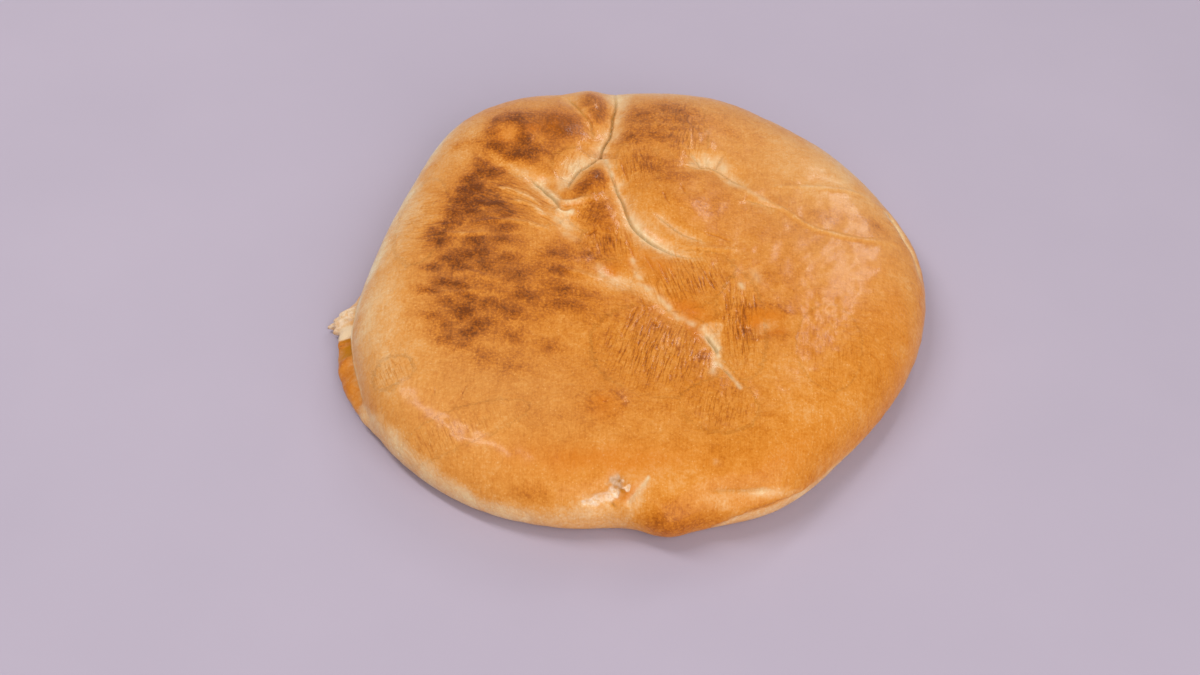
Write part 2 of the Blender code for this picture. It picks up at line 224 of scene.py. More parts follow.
# Creases and hair cracks in the thin outer skin: course, depth and half width
CREASES = [
    ([(-7, 16), (-5, 11), (-4, 6), (-2, 3)], 0.6, 0.55),
    ([(1, 8), (4, 0), (7, -5)], 0.5, 0.5),
    ([(8, 2), (10, -5), (14, -13)], 0.5, 0.5),
    ([(12, -1), (16, -9)], 0.5, 0.5),
    ([(-2, -27), (-4, -34), (-6, -42)], 0.5, 0.5),
    ([(-2, -17), (1, -23), (2, -28), (0, -34)], 0.4, 0.5),
    ([(30, -5), (35, -15)], 0.5, 0.5),
    ([(7, -34.5), (7, -37.5)], 0.5, 0.9),
    ([(9, 49), (10, 43), (13, 37)], 0.4, 0.45),
    ([(17, 54), (19, 46)], 0.4, 0.45),
    ([(28, 23), (36, 19), (44, 18)], 0.3, 0.45),
    ([(-12, 71), (-10, 62), (-8, 53)], 0.5, 0.5),
    ([(-75, -77), (-78, -87)], 0.5, 0.45),
    ([(-88.5, -83), (-89.5, -83)], 0.8, 0.6),
    ([(48, -14), (47.5, -27), (47.5, -45)], 0.6, 0.6),
    ([(40, -14), (40.5, -27), (41, -35)], 0.5, 0.5),
    ([(45, -32), (44.5, -38), (45, -45)], 0.5, 0.6),
    ([(-42, 35.5), (-36, 34.8), (-30, 36.8), (-23, 40)], 0.6, 0.5),
    ([(-26.5, 17), (-23.5, 20.5), (-21, 22.5)], 0.6, 0.45),
    ([(-14.5, -84), (-14.5, -85.2)], 0.9, 0.7),
    ([(-32, 105), (-28, 96), (-25, 88)], 0.4, 0.45),
    ([(8, -46), (3, -58), (2, -66)], 0.4, 0.5),
    ([(-52, 30), (-44, 24), (-38, 20)], 0.3, 0.5),
    ([(120, 44), (122, 41)], 0.6, 0.7),
    ([(-104, 20), (-92, 20)], 0.2, 0.5),
    ([(-110, 11), (-96, 12)], 0.2, 0.5),
    ([(-103, 28), (-94, 27)], 0.2, 0.5),
]


def eased(value):
    """0 below 0, 1 above 1, and a smooth rise between."""
    value = np.clip(value, 0, 1)
    return value * value * (3 - 2 * value)


def bell(distance, half):
    """1 at no distance, falling smoothly to about a third at the half width."""
    return np.exp(-((distance / half) ** 2))


LUMP_TABLE = 97  # rows and columns of random heights, after which the lumps repeat


def lumps(x, y, size, seed):
    """Soft random unevenness from -1 to 1, with lumps about size mm across."""
    table = np.random.default_rng(seed).uniform(-1, 1, (LUMP_TABLE, LUMP_TABLE))
    column, row = x / size + 10 * LUMP_TABLE, y / size + 10 * LUMP_TABLE
    left, low = np.floor(column).astype(int), np.floor(row).astype(int)
    across, up = eased(column - left), eased(row - low)
    columns = (left % LUMP_TABLE, (left + 1) % LUMP_TABLE)
    near, far = (
        table[columns[0], at % LUMP_TABLE] * (1 - across) + table[columns[1], at % LUMP_TABLE] * across
        for at in (low, low + 1)
    )
    return near * (1 - up) + far * up


def unevenness(x, y, layers):
    """Layers of lumps added up."""
    return sum(strength * lumps(x, y, size, seed) for strength, size, seed in layers)


def strayed(x, y, wander):
    """The place as seen by a shape that wanders off its plain course, sideways and upwards."""
    sideways, upwards = wander
    return x + unevenness(x, y, sideways), y + unevenness(x, y, upwards)


def rounded(course, times=2):
    """The course with its corners cut off, so that it runs in curves."""
    course = np.array(course, float)
    for _ in range(times):
        near = 0.75 * course[:-1] + 0.25 * course[1:]
        far = 0.25 * course[:-1] + 0.75 * course[1:]
        middle = np.stack([near, far], axis=1).reshape(-1, 2)
        course = np.vstack([course[:1], middle, course[-1:]])
    return course


def beside(course, x, y):
    """Distance of each place from the course, positive on its left, and the run along it."""
    gap = np.full(x.shape, np.inf)
    run = np.zeros(x.shape)
    side = np.ones(x.shape)
    done = 0.0
    for start, end in zip(course[:-1], course[1:]):
        step = end - start
        length = math.hypot(*step)
        ahead, across = x - start[0], y - start[1]
        part = np.clip((ahead * step[0] + across * step[1]) / length**2, 0, 1)
        distance = np.hypot(ahead - part * step[0], across - part * step[1])
        closer = distance < gap
        gap = np.where(closer, distance, gap)
        run = np.where(closer, done + part * length, run)
        left = step[0] * across - step[1] * ahead
        side = np.where(closer, np.where(left < 0, -1, 1), side)
        done += length
    return gap * side, run, done


def faded(run, length, opening=0.3, closing=0.3):
    """1 along the middle of a course, easing to 0 over these shares of it at its two ends."""
    return eased(run / (opening * length)) * eased((length - run) / (closing * length))


def fold_relief(x, y):
    """Relief of the folds and ridges, their pale banks, the slits' painted shade and the creases."""
    relief, paleness, slits = np.zeros(x.shape), np.zeros(x.shape), np.zeros(x.shape)
    streak = (RIDGE_PLAIN + unevenness(x, y, RIDGE_UNEVEN)).clip(*RIDGE_LIMITS)
    bank_spread = 1 + unevenness(x, y, BANK_UNEVEN)
    x, y = strayed(x, y, FOLD_WANDER)
    for course, slit_depth, slit_half, valley_depth, valley_half, *shown, opening, closing in FOLDS.values():
        bank_half, bank, dark = shown
        gap, run, length = beside(rounded(course), x, y)
        fade = faded(run, length, opening, closing)
        relief -= fade * slit_depth * bell(gap, slit_half)
        relief -= fade * valley_depth * bell(gap, valley_half)
        paleness = np.maximum(paleness, np.sqrt(fade) * bank * bell(gap, bank_half * bank_spread))
        slits = np.maximum(slits, SLIT_SHADE_SHARE * fade * dark * bell(gap, slit_half))
    for course, rise, half, pale in RIDGES.values():
        gap, run, length = beside(rounded(course), x, y)
        fade = faded(run, length)
        relief += fade * rise * bell(gap, half)
        paleness = np.maximum(paleness, fade * streak * pale * bell(gap, half * RIDGE_SPREAD))
    creases = np.zeros(x.shape)
    for course, depth, half in CREASES:
        gap, run, length = beside(rounded(course), x, y)
        crease = faded(run, length) * bell(gap, half)
        relief -= depth * crease
        creases = np.maximum(creases, crease)
    return relief, paleness, slits, creases


# The flour
# The loaf was dusted with white wheat flour before baking. It shows as pale grey-white patches
# where it gathered in the folds and where the dough drew apart there.

# Course on the map, half width and how thickly the flour lies
FLOURED = [
    ([(-21, 73), (-18.5, 66), (-16.5, 60)], 1.7, 0.8),
    ([(-30, 71), (-35, 66), (-39, 58), (-40, 49)], 3.2, 0.3),
    ([(-41, 27), (-39, 22), (-36, 19)], 2.6, 0.38),
    ([(-36, 17), (-32.5, 15.5)], 2.2, 0.5),
    ([(-46, 43.5), (-40.5, 38), (-33, 38.2)], 1.2, 0.3),
    ([(-41.5, 31), (-38, 29), (-34.5, 30.5)], 1.0, 0.6),
    ([(-6, 32), (-3, 26), (3, 17), (9, 11)], 2.0, 0.45),
    ([(-20, -2), (-19, -6), (-18, -9)], 1.9, 0.36),
    ([(-4.5, 4), (-3, -3), (-1, -7)], 1.2, 0.62),
    ([(-1.5, -10.5), (2, -12.5), (6, -15.5)], 1.5, 0.5),
    ([(7, -17), (10, -20), (12, -23)], 1.5, 0.45),
    ([(12.5, -23), (15, -26.5), (18, -30)], 1.6, 0.62),
    ([(18.5, -29), (22, -32), (25, -34)], 1.4, 0.58),
    ([(28, -37), (32, -42), (36, -48)], 2.0, 0.6),
    ([(34.5, -54), (35, -59), (33, -64)], 1.6, 0.65),
    ([(36.5, -58), (39, -62), (42.5, -67), (45.5, -72)], 0.9, 0.6),
    ([(6.2, -120.8), (4.2, -124)], 0.8, 0.9),
    ([(-9, 140), (-11, 120), (-14, 104), (-16, 88)], 2.6, 0.36),
    ([(-20, 92), (-24, 76)], 2.4, 0.25),
    ([(23, 71), (26, 72.5)], 2.0, 0.5),
    ([(31, 75), (36, 74), (38.5, 70)], 2.6, 0.5),
    ([(41, 61), (50, 54), (58, 48)], 1.7, 0.35),
    ([(46, -10), (46.5, -12)], 1.4, 0.6),
    ([(35, -112), (36, -112)], 0.8, 1.0),
    ([(52, -1), (54, -6)], 2.2, 0.3),
]
DUST_PLAIN = 0.8  # how thickly the dust lies before its patches
DUST_PATCHES = [(0.6, 3.2, 51), (0.3, 1.6, 52)]
DUST_LIMIT = 1.15
DUST_SHARE = 0.9  # how much of the crust the thickest dust hides


def flour_dust(x, y):
    """How thickly the flour lies at each place, from 0 to 1."""
    dust = np.zeros(x.shape)
    patchy = (DUST_PLAIN + unevenness(x, y, DUST_PATCHES)).clip(0, DUST_LIMIT)
    for course, half, thick in FLOURED:
        gap, _, _ = beside(rounded(course), x, y)
        dust = np.maximum(dust, thick * bell(gap, half))
    return DUST_SHARE * dust * patchy


# The cushions
# Gas under the crust lifted it into broad soft cushions, with hollows and a blister between
# them, and let the crust bulge over the side at the front right.

# Middle on the map, half length, half width, bearing of the length, and rise
SWELLS = {
    "nub at the back": ((-29.5, 114), 18, 8, 100, 3.4),
    "back left cushion": ((-62, 94), 26, 22, 0, 2.4),
    "fork cushion": ((-27, 55), 11, 7, 60, 2.8),
    "back right cushion": ((12, 100), 28, 25, 90, 3.0),
    "middle right cushion": ((14, 46), 22, 15, 120, 2.4),
    "right cushion": ((80, 76), 42, 22, 140, 1.8),
    "toasted cushion": ((-68, 0), 54, 34, 80, 2.4),
    "front right cushion": ((80, -50), 58, 38, 60, 1.8),
    "front left cushion": ((-40, -86), 46, 22, 0, 1.2),
    "middle hollow": ((-12, 2), 44, 17, 125, -2.2),
    "seam hollow": ((26, -40), 28, 13, 135, -2.0),
    "dimple": ((56, -34), 8, 6, 0, -1.6),
    "front blister": ((17, -140), 13, 11, 0, 5.4),
    "front notch": ((-10, -146), 16, 9, 0, -1.6),
    "front tear": ((-11, -131), 9, 5, 45, -2.2),
    "front tear hollow": ((-7, -125), 4.6, 3.2, 105, -2.8),
    "bubble": ((-13, -86), 7, 7.5, 0, 0.9),
    "bubble's sunk middle": ((-15, -87), 4, 3.5, 0, -0.9),
    "blister ring": ((-69, 84), 13, 13, 0, 1.6),
    "blister ring's middle": ((-69, 82.5), 6, 6, 0, -1.0),
    "back patch": ((-44, 94), 9, 9, 0, 1.2),
    "pit beside the dimple": ((50, -34), 4, 5, 0, -0.7),
}

# Crust edge that bulges over the paler side at the front right: course, step and width
OVERHANG = ([(31, -149), (44, -136), (59, -128), (74, -120), (93, -108)], 1.8, 7.0)
OVERHANG_EASE = 0.5  # how far either side of its course the step rises


def oval(x, y, middle, half_long, half_wide, bearing):
    """1 at the middle of an oval patch, falling smoothly to about a third at its half widths."""
    turn = math.radians(bearing)
    ahead = (x - middle[0]) * math.cos(turn) + (y - middle[1]) * math.sin(turn)
    across = (y - middle[1]) * math.cos(turn) - (x - middle[0]) * math.sin(turn)
    return bell(np.hypot(ahead / half_long, across / half_wide), 1)


def swell_relief(x, y):
    """Relief of the cushions, hollows and blister, and of the crust's overhanging edge."""
    relief = sum(rise * oval(x, y, *place) for *place, rise in SWELLS.values())
    course, step, width = OVERHANG
    gap, run, length = beside(rounded(course), x, y)
    edge = eased(gap + OVERHANG_EASE) * bell(np.maximum(gap, 0), width)
    return relief + faded(run, length) * step * edge


# The torn seam
# Along the left rim the crust tore open as it rose. A lower lip of dough stands out under its
# edge, with flaky white crumb at the back end and a dark open gap beside it.

# How far the lip stands out at each bearing
LIP = [
    (176, 0), (180, 1.5), (183, 4), (186, 7.5), (189, 9), (193, 8.5), (201, 9), (206, 7.5), (210, 5),
    (214, 3), (218, 0),
]
LIP_BELOW = 4.5  # middle of the lip below the widest line
LIP_HALF = 4.0
LIP_TOP = 0.15  # where the lip's upper side starts below the widest line
LIP_TOP_EASE = 1.5
LIP_CREST = 4.6  # how far below the widest line the lip's thin pale rim runs
LIP_CREST_HALF = 0.9
LIP_CREST_PLAIN = 0.7  # how pale that rim is away from the gap
LIP_BAKE = 0.55
LIP_AMBER = 0.50
LIP_STRETCH = (2.5, 0.5)  # how the streaks on the lip are squeezed along it and drawn out down it
LIP_STREAKS = [(0.08, 1.2, 47)]
FULLY_OPEN = 7  # how far the lip stands out where the groove above it is fully open
LIP_END = (211.5, 3)  # bearing where the groove closes, and over how many degrees it does
GROOVE_DEPTH = 2.6
GROOVE_HALF = 1.5

# The dark gap: a pocket, and the part of it that is painted dark amber as shade
SLANT = 0.6  # degrees by which the wall and the gap lean back for each mm down
GAP_BEARING = 196.4
GAP_BELOW = 1.2
GAP_HALF = (5.6, 2.2)
GAP_DEPTH = 6.0
GAP_WALL = 1.25  # where the pocket's wall starts, in half widths from its middle
GAP_STEEP = 2.2
GAP_SPAN = (195.0, 199.7, 0.5, 0.5)  # leaning bearings of its ends, and how soft they are
GAP_TOP = (-3.25, 0.5)  # distance below the widest line of its upper edge, and how soft it is
GAP_FOOT = 1.1  # how far above the lip's rim its lower edge runs
GAP_FOOT_EASE = 0.4
GAP_STEP = (197.2, 1.1)  # leaning bearing where that edge steps down to the rim, and from how high
GAP_NEAR = 7.84  # how far from the gap the lip's rim is pale

# The torn wall of white crumb: its ends, and how soft they are
WALL_SPAN = (191.6, 195.0, 1, 0.5)
WALL_DEPTHS = (-2, 12.5, 2, 3)

# Crumbs: bearing, distance below the widest line, radius, and how far they stand out
CRUMBS = [
    (186.9, 1.2, 2.1, 5.0), (187.9, 0.6, 1.9, 5.6), (188.9, 1.6, 2.0, 5.2), (187.6, 3.2, 2.0, 4.6),
    (188.6, 3.6, 1.2, 7.0), (189.7, 2.6, 1.7, 4.6), (189.5, 0.2, 1.3, 4.2), (188.2, 5.2, 1.7, 3.4),
]
CRUMB_FILL = (2.2, 0.2)
SEAM_CRUMB = 0.6  # how white the crumbs at the seam are

# The crust's thin edge over the gap, which curls up
EDGE_ABOVE = 2.6  # how far above the widest line it runs
EDGE_HALF = 1.5
EDGE_START = (192.6, 2)
# The thin edges of the crust and of the lip are painted paler as a highlight where they catch the light
EDGE_HIGHLIGHT = 0.24  # how much paler the thin edges of the crust and of the lip are
BEAD = 0.4  # how far the crust's edge curls up
OVER_SEAM = (188, 219, 4, 6)  # bearings between which the crust over the gap is a little paler
OVER_SEAM_ABOVE = 7
OVER_SEAM_HALF = 4
OVER_SEAM_PALE = 0.04

MM_PER_DEGREE = 2.4  # along the rim
RAGGED_ALONG = [(0.5, 4, 43)]
RAGGED_DOWN = [(0.6, 3.5, 44)]


def past(value, at, over):
    """0 before a value and 1 after it, with a smooth rise over a stretch round it."""
    return eased((value - at) / over + 0.5)


def between(value, start, end, rise, fall):
    """1 between two values, with a smooth rise round the first and fall round the second."""
    return past(value, start, rise) * (1 - past(value, end, fall))


def filled(share, growth, cut):
    """A soft patch that is filled out to a firmer one with a shorter edge."""
    return eased(growth * share - cut)


def torn_seam(bearing, below, rim):
    """Relief of the torn seam, how far each place there is crumb, wall, the gap's painted shade or lip, and
    its edge.
    """
    arc = math.radians(1) * rim
    bearing = bearing + unevenness(MM_PER_DEGREE * bearing, below, RAGGED_ALONG)
    below = below + unevenness(MM_PER_DEGREE * bearing, below, RAGGED_DOWN)
    leaning = bearing + SLANT * below
    from_gap = (bearing - GAP_BEARING) * arc

    at, out = np.array(LIP, float).T
    lip = np.interp(bearing, at, out, left=0, right=0)
    open_share = np.clip(lip / FULLY_OPEN, 0, 1) * (1 - past(bearing, *LIP_END))
    relief = lip * bell(below - LIP_BELOW, LIP_HALF)
    relief -= GROOVE_DEPTH * open_share * bell(below, GROOVE_HALF)
    away = np.hypot(from_gap / GAP_HALF[0], (below - GAP_BELOW) / GAP_HALF[1])
    relief -= GAP_DEPTH * eased(GAP_STEEP * (GAP_WALL - away))

    crumb, stands_out = np.zeros(bearing.shape), np.zeros(bearing.shape)
    for crumb_bearing, crumb_below, radius, stand in CRUMBS:
        near = bell(np.hypot((bearing - crumb_bearing) * arc, below - crumb_below), radius)
        stands_out = np.maximum(stands_out, stand * near)
        crumb = np.maximum(crumb, filled(near, *CRUMB_FILL))
    wall = between(leaning, *WALL_SPAN) * between(below, *WALL_DEPTHS) * (1 - crumb)

    foot = LIP_CREST - GAP_FOOT - GAP_STEP[1] * (1 - past(leaning, GAP_STEP[0], 1))
    hole_shade = between(leaning, *GAP_SPAN) * past(below, *GAP_TOP) * (1 - past(below, foot, GAP_FOOT_EASE))
    lip_share = open_share * past(below, LIP_TOP, LIP_TOP_EASE) * past(leaning, WALL_SPAN[1], 1)
    edge = open_share * bell(below + EDGE_ABOVE, EDGE_HALF) * past(bearing, *EDGE_START)
    relief += stands_out + BEAD * edge
    crest = LIP_CREST_PLAIN + (1 - LIP_CREST_PLAIN) * bell(from_gap, GAP_NEAR)
    edge += lip_share * crest * bell(below - LIP_CREST, LIP_CREST_HALF)
    return relief, crumb, wall, hole_shade, lip_share, edge


# The front tear
# At the front the crust split as the blister beside it rose, and white crumb shows in a short
# slanting band, with a hollow at its upper end.
TEAR = [(-21, -135.5), (-17, -133), (-13, -130.5), (-9.5, -128.5), (-6, -126.8)]
TEAR_HALF = 2.5
TEAR_DEPTH = 0.8
TEAR_ENDS = (0.1, 0.2)  # shares of its course over which it opens and closes
TEAR_RAGGED = ([(2.2, 2.4, 41)], [(2.2, 2.4, 42)])

# The hollow, a flake of crust and the holes are ovals: middle, half length and width, bearing.
# A fill says how far a soft patch is filled out: its growth, and how much is cut off it.
# The crumb in the hollow is painted in shade, as a darker grey-beige copy
TEAR_HOLLOW = ((-7.2, -124.8), 4.6, 3.0, 105)
HOLLOW_FILL = (2.0, 0.3)
TEAR_FLAKE = ((-2.8, -124.5), 1.5, 0.9, 20)
TEAR_FILL = (2.4, 0.3)
TEAR_CRUMB = 0.75  # how white the crumb in the tear is
CRUMB_PLAIN = 0.85
CRUMB_PATCHES = [(0.4, 2.2, 46)]
TEAR_HOLES = [
    ((-5.2, -127), 1.6, 0.8, 150), ((-7.6, -125.6), 1.2, 0.7, 20), ((-6.2, -122.6), 1.2, 0.6, 60),
    ((-8.6, -134.3), 1.6, 0.7, 145),
]
HOLE_DEPTH = 0.8
# The holes are darkened with painted shade
HOLE_SHADE = 0.8


def front_tear(x, y):
    """Relief of the front tear, and where it shows crumb, and the painted shade of its hollow and holes."""
    torn_x, torn_y = strayed(x, y, TEAR_RAGGED)
    gap, run, length = beside(rounded(TEAR), torn_x, torn_y)
    torn = faded(run, length, *TEAR_ENDS) * bell(gap, TEAR_HALF)
    hollow = filled(oval(torn_x, torn_y, *TEAR_HOLLOW), *HOLLOW_FILL)
    flake = filled(oval(torn_x, torn_y, *TEAR_FLAKE), *TEAR_FILL)
    patchy = (CRUMB_PLAIN + unevenness(x, y, CRUMB_PATCHES)).clip(0, 1)
    crumb = np.maximum(filled(torn, *TEAR_FILL) * patchy, flake)
    holes = sum(oval(x, y, *place) for place in TEAR_HOLES)
    return -TEAR_DEPTH * torn - HOLE_DEPTH * holes, crumb, hollow, HOLE_SHADE * holes.clip(0, 1)


# The fine wrinkles
# The thin skin of the crust puckered beside the folds and over the hollows as it dried, in
# broken parallel creases. Real ones lie about 1 mm apart, and these a little coarser, to show.

# Middle on the map, half length along the creases, half width across them, bearing of the
# creases, how the bearing turns in degrees for each mm across, and depth
WRINKLES = {
    "below the seam": ((8, -52), 22, 24, 78, -0.5, 0.29),
    "far below the seam": ((36, -82), 14, 16, 82, 0.0, 0.20),
    "beside the seam": ((20, -8), 14, 20, 108, 0.9, 0.30),
    "right of the seam": ((46, -34), 26, 9, 94, 0.0, 0.30),
    "right": ((86, -44), 30, 18, 86, 0.0, 0.12),
    "above the star fold": ((20, 86), 13, 9, 84, -1.5, 0.26),
    "right of the back fold": ((-4, 68), 15, 9, 98, 0.0, 0.24),
    "below the fork": ((-15, 14), 9, 12, 100, 0.6, 0.34),
    "brown patch": ((-26, 33), 12, 10, 70, 5.0, 0.20),
    "back right cushion": ((16, 104), 16, 14, 86, 0.0, 0.14),
    "left shoulder": ((-106, 24), 12, 28, 178, -0.8, 0.20),
    "stretched towards the left fold": ((-62, 38), 22, 14, -22, 0.6, 0.26),
    "shiny left shoulder": ((-110, -70), 7, 9, 115, 0.0, 0.26),
    "front left shoulder": ((-78, -101), 9, 34, 112, 0.8, 0.16),
    "bank of the fork": ((-36, 66), 10, 9, 78, -3.0, 0.22),
}
WRINKLE_SPACING = 1.9
WRINKLE_LENGTHS = (7.0, 22.0)
WRINKLE_BREAKS = (0.5, 4.0)
WRINKLE_HALF = 0.38
WRINKLE_SWAY = 0.8  # how far a crease bends off its straight course
WRINKLE_SHIFT = 0.45  # how far a crease may leave its even place, as a share of the spacing
WRINKLE_TURN = 9  # degrees by which a crease may turn off the bearing
WRINKLE_STRENGTHS = (0.35, 1.1)
WRINKLE_ENDS = (0.4, 0.4)  # shares of its length over which a crease opens and closes
WRINKLE_REACH = 4  # how far from a crease its relief is worked out
WRINKLE_SINK = 0.34
WRINKLE_RISE = 0.15  # how high the ridge beside a crease stands, as a share of its depth
WRINKLE_SEED = 11
FULL_DEPTH = 0.3  # depth of a crease that shows its full colour


def wrinkle_courses(middle, half_long, half_wide, bearing, fan, random):
    """Broken parallel creases that fill an oval patch, each as a short course on the map."""
    for across in np.arange(-half_wide, half_wide, WRINKLE_SPACING):
        reach = half_long * math.sqrt(1 - (across / half_wide) ** 2)
        ahead = -reach + random.uniform(*WRINKLE_BREAKS)
        while ahead < reach:
            length = random.uniform(*WRINKLE_LENGTHS)
            turn = math.radians(bearing + fan * across + random.uniform(-WRINKLE_TURN, WRINKLE_TURN))
            field = math.radians(bearing)
            start_across = across + random.uniform(-WRINKLE_SHIFT, WRINKLE_SHIFT) * WRINKLE_SPACING
            mid_ahead = ahead + length / 2
            centre = np.array([
                middle[0] + mid_ahead * math.cos(field) - start_across * math.sin(field),
                middle[1] + mid_ahead * math.sin(field) + start_across * math.cos(field),
            ])
            half = length / 2 * np.array([math.cos(turn), math.sin(turn)])
            sway = random.uniform(-1, 1) * WRINKLE_SWAY * np.array([-math.sin(turn), math.cos(turn)])
            yield [centre - half, centre + sway, centre + half]
            ahead += length + random.uniform(*WRINKLE_BREAKS)


def wrinkle_relief(x, y):
    """Relief of the fine wrinkles, and where their creases and the ridges between them lie."""
    relief, creases, ridges = np.zeros(x.shape), np.zeros(x.shape), np.zeros(x.shape)
    random = np.random.default_rng(WRINKLE_SEED)
    for middle, half_long, half_wide, bearing, fan, depth in WRINKLES.values():
        for course in wrinkle_courses(middle, half_long, half_wide, bearing, fan, random):
            low, high = np.min(course, axis=0) - WRINKLE_REACH, np.max(course, axis=0) + WRINKLE_REACH
            near = (x > low[0]) & (x < high[0]) & (y > low[1]) & (y < high[1])
            gap, run, length = beside(rounded(course), x[near], y[near])
            fade = faded(run, length, *WRINKLE_ENDS) * random.uniform(*WRINKLE_STRENGTHS)
            crease = fade * bell(gap, WRINKLE_HALF)
            ridge = fade * bell(gap - WRINKLE_SPACING / 2, WRINKLE_HALF)
            relief[near] += WRINKLE_SINK * depth * (WRINKLE_RISE * ridge - crease)
            creases[near] = np.maximum(creases[near], crease * depth / FULL_DEPTH)
            ridges[near] = np.maximum(ridges[near], ridge * depth / FULL_DEPTH)
    return relief, creases, ridges


PUCKER_ELSEWHERE = 0.2  # how much of the fine puckering shows outside the wrinkled places


def pucker_grid(x, y):
    """Distances across and along the finest puckers, and how strongly they show, from 0 to 1."""
    strongest = np.full(x.shape, PUCKER_ELSEWHERE)
    across, along = x.copy(), y.copy()
    for middle, half_long, half_wide, bearing, fan, depth in WRINKLES.values():
        strength = min(1, depth / FULL_DEPTH) * oval(x, y, middle, half_long, half_wide, bearing)
        turn = math.radians(bearing)
        east, north = x - middle[0], y - middle[1]
        here_along = east * math.cos(turn) + north * math.sin(turn)
        here_across = north * math.cos(turn) - east * math.sin(turn)
        chosen = strength > strongest
        across[chosen] = here_across[chosen]
        along[chosen] = here_along[chosen]
        strongest[chosen] = strength[chosen]
    return across, along, strongest


# The crust as a mesh
# The crust is one closed skin. Its mesh is laid out flat on the map in rings, made finer where
# folds, wrinkles and tears need it, and only then lifted into the form of the loaf.
MESH_STEP = 1.8
SIDE_STEP = 1.9
BASE_STEP = 9.0
FIRST_RING = 6  # corners of the smallest ring at the crown and in the middle of the base

# What is worked finely, and how far round it the mesh is made finer
PATCH_EDGE = bell(1, 1)  # what an oval patch has fallen to at its half widths
STRONG_WRINKLES = 0.28  # depth from which the mesh is made finest
WRINKLED_REACH = 1.05
FOLD_REACH = 7
SLIT_REACH = 2.4
RIDGE_REACH = 3
CREASE_REACH = 2

# Level: first and last bearing, and where it starts and ends below the widest line
SEAM_WORKED = {1: (182, 219, -7, 14), 2: (182, 202, -4, 10)}
TEAR_WORKED = ((-11, -131), 15, 10, 45)  # an oval like those of the tear


def ring_of(distance_of, share, corners, twist):
    """One ring of places on the map, at a share of the way along a stretch of the crust."""
    bearing = (np.arange(corners) + twist) * 360 / corners
    distance = distance_of(rim_distance(bearing), share)
    turn = np.radians(bearing)
    return np.stack([distance * np.cos(turn), distance * np.sin(turn)], axis=1)


def crust_rings():
    """Rings of places from the crown over the rim to the middle of the base."""
    mean_rim = rim_distance(np.arange(0, 360, 5.0)).mean()
    stretches = (
        (lambda rim, share: share * (rim - SHOULDER), mean_rim - SHOULDER, MESH_STEP, 0),
        (lambda rim, share: rim - SHOULDER + share * LENGTH[-1], LENGTH[-1], SIDE_STEP, 0),
        (
            lambda rim, share: rim - SHOULDER + LENGTH[-1] + share * (rim - TUCK),
            mean_rim - TUCK, BASE_STEP, 1,
        ),
    )
    rings = []
    for distance_of, length, step, left_open in stretches:
        count = round(length / step)
        for i in range(1, count + 1 - left_open):
            distance = distance_of(mean_rim, i / count)
            out, _ = plain_form(mean_rim, distance)
            corners = max(FIRST_RING, round(2 * math.pi * float(out) / step))
            rings.append(ring_of(distance_of, i / count, corners, 0.5 * (len(rings) % 2)))
    return rings


def band(inner, outer):
    """Triangles between two rings of corner numbers, which may have different counts."""
    i = j = 0
    while i < len(inner) or j < len(outer):
        here, there = inner[i % len(inner)], outer[j % len(outer)]
        if (i + 1) * len(outer) <= (j + 1) * len(inner):
            i += 1
            yield here, there, inner[i % len(inner)]
        else:
            j += 1
            yield here, there, outer[j % len(outer)]


def make_finer(work, near, level):
    """Asks for at least this level of the mesh at the places that are near."""
    work[near] = np.maximum(work[near], level)


def needs_finer(x, y):
    """How closely the crust is worked at each place: 0 plain, 1 wrinkled, 2 open or torn."""
    work = np.zeros(x.shape)
    for middle, half_long, half_wide, bearing, _, depth in WRINKLES.values():
        reach, width = WRINKLED_REACH * half_long, WRINKLED_REACH * half_wide
        wrinkled = oval(x, y, middle, reach, width, bearing) > PATCH_EDGE
        make_finer(work, wrinkled, 2 if depth > STRONG_WRINKLES else 1)
    for course, slit_depth, *_ in FOLDS.values():
        gap = np.abs(beside(rounded(course), x, y)[0])
        make_finer(work, gap < FOLD_REACH, 1)
        if slit_depth:
            make_finer(work, gap < SLIT_REACH, 2)
    for course, *_ in RIDGES.values():
        make_finer(work, np.abs(beside(rounded(course), x, y)[0]) < RIDGE_REACH, 1)
    for course, *_ in CREASES:
        make_finer(work, np.abs(beside(rounded(course), x, y)[0]) < CREASE_REACH, 2)
    bearing, along = np.degrees(np.arctan2(y, x)) % 360, np.hypot(x, y)
    below = along - (rim_distance(bearing) - SHOULDER) - TO_WIDEST
    for level, (first, last, upper, lower) in SEAM_WORKED.items():
        work[(bearing > first) & (bearing < last) & (below > upper) & (below < lower)] = level
    make_finer(work, oval(x, y, *TEAR_WORKED) > PATCH_EDGE, 2)
    return work


def flat_crust():
    """The crust's mesh while it still lies flat on the map."""
    rings = crust_rings()
    starts = np.cumsum([0] + [len(ring) for ring in rings])
    numbers = [range(start, start + len(ring)) for start, ring in zip(starts, rings)]
    faces = [list(numbers[0]), list(reversed(numbers[-1]))]
    for inner, outer in zip(numbers[:-1], numbers[1:]):
        faces += band(inner, outer)
    places = np.vstack(rings)
    data = bpy.data.meshes.new("flat crust")
    data.from_pydata([(x, y, 0) for x, y in places], [], faces)
    mesh = bmesh.new()
    mesh.from_mesh(data)
    bpy.data.meshes.remove(data)
    bmesh.ops.triangulate(mesh, faces=mesh.faces[:])
    for level in (1, 2):
        mesh.edges.ensure_lookup_table()
        middles = np.array([(e.verts[0].co + e.verts[1].co)[:2] for e in mesh.edges]) / 2
        work = needs_finer(middles[:, 0], middles[:, 1])
        chosen = [mesh.edges[i] for i in np.flatnonzero(work >= level)]
        bmesh.ops.subdivide_edges(mesh, edges=chosen, cuts=1)
        bmesh.ops.triangulate(mesh, faces=mesh.faces[:])
    return mesh


# The browning
# Heat browned the crust most on the left, where it bulged towards the fire, and left the sides
# and the stretched places pale. Bake runs from 0, raw dough, over 0.5, golden, to 1, dark.
GOLDEN = 0.55

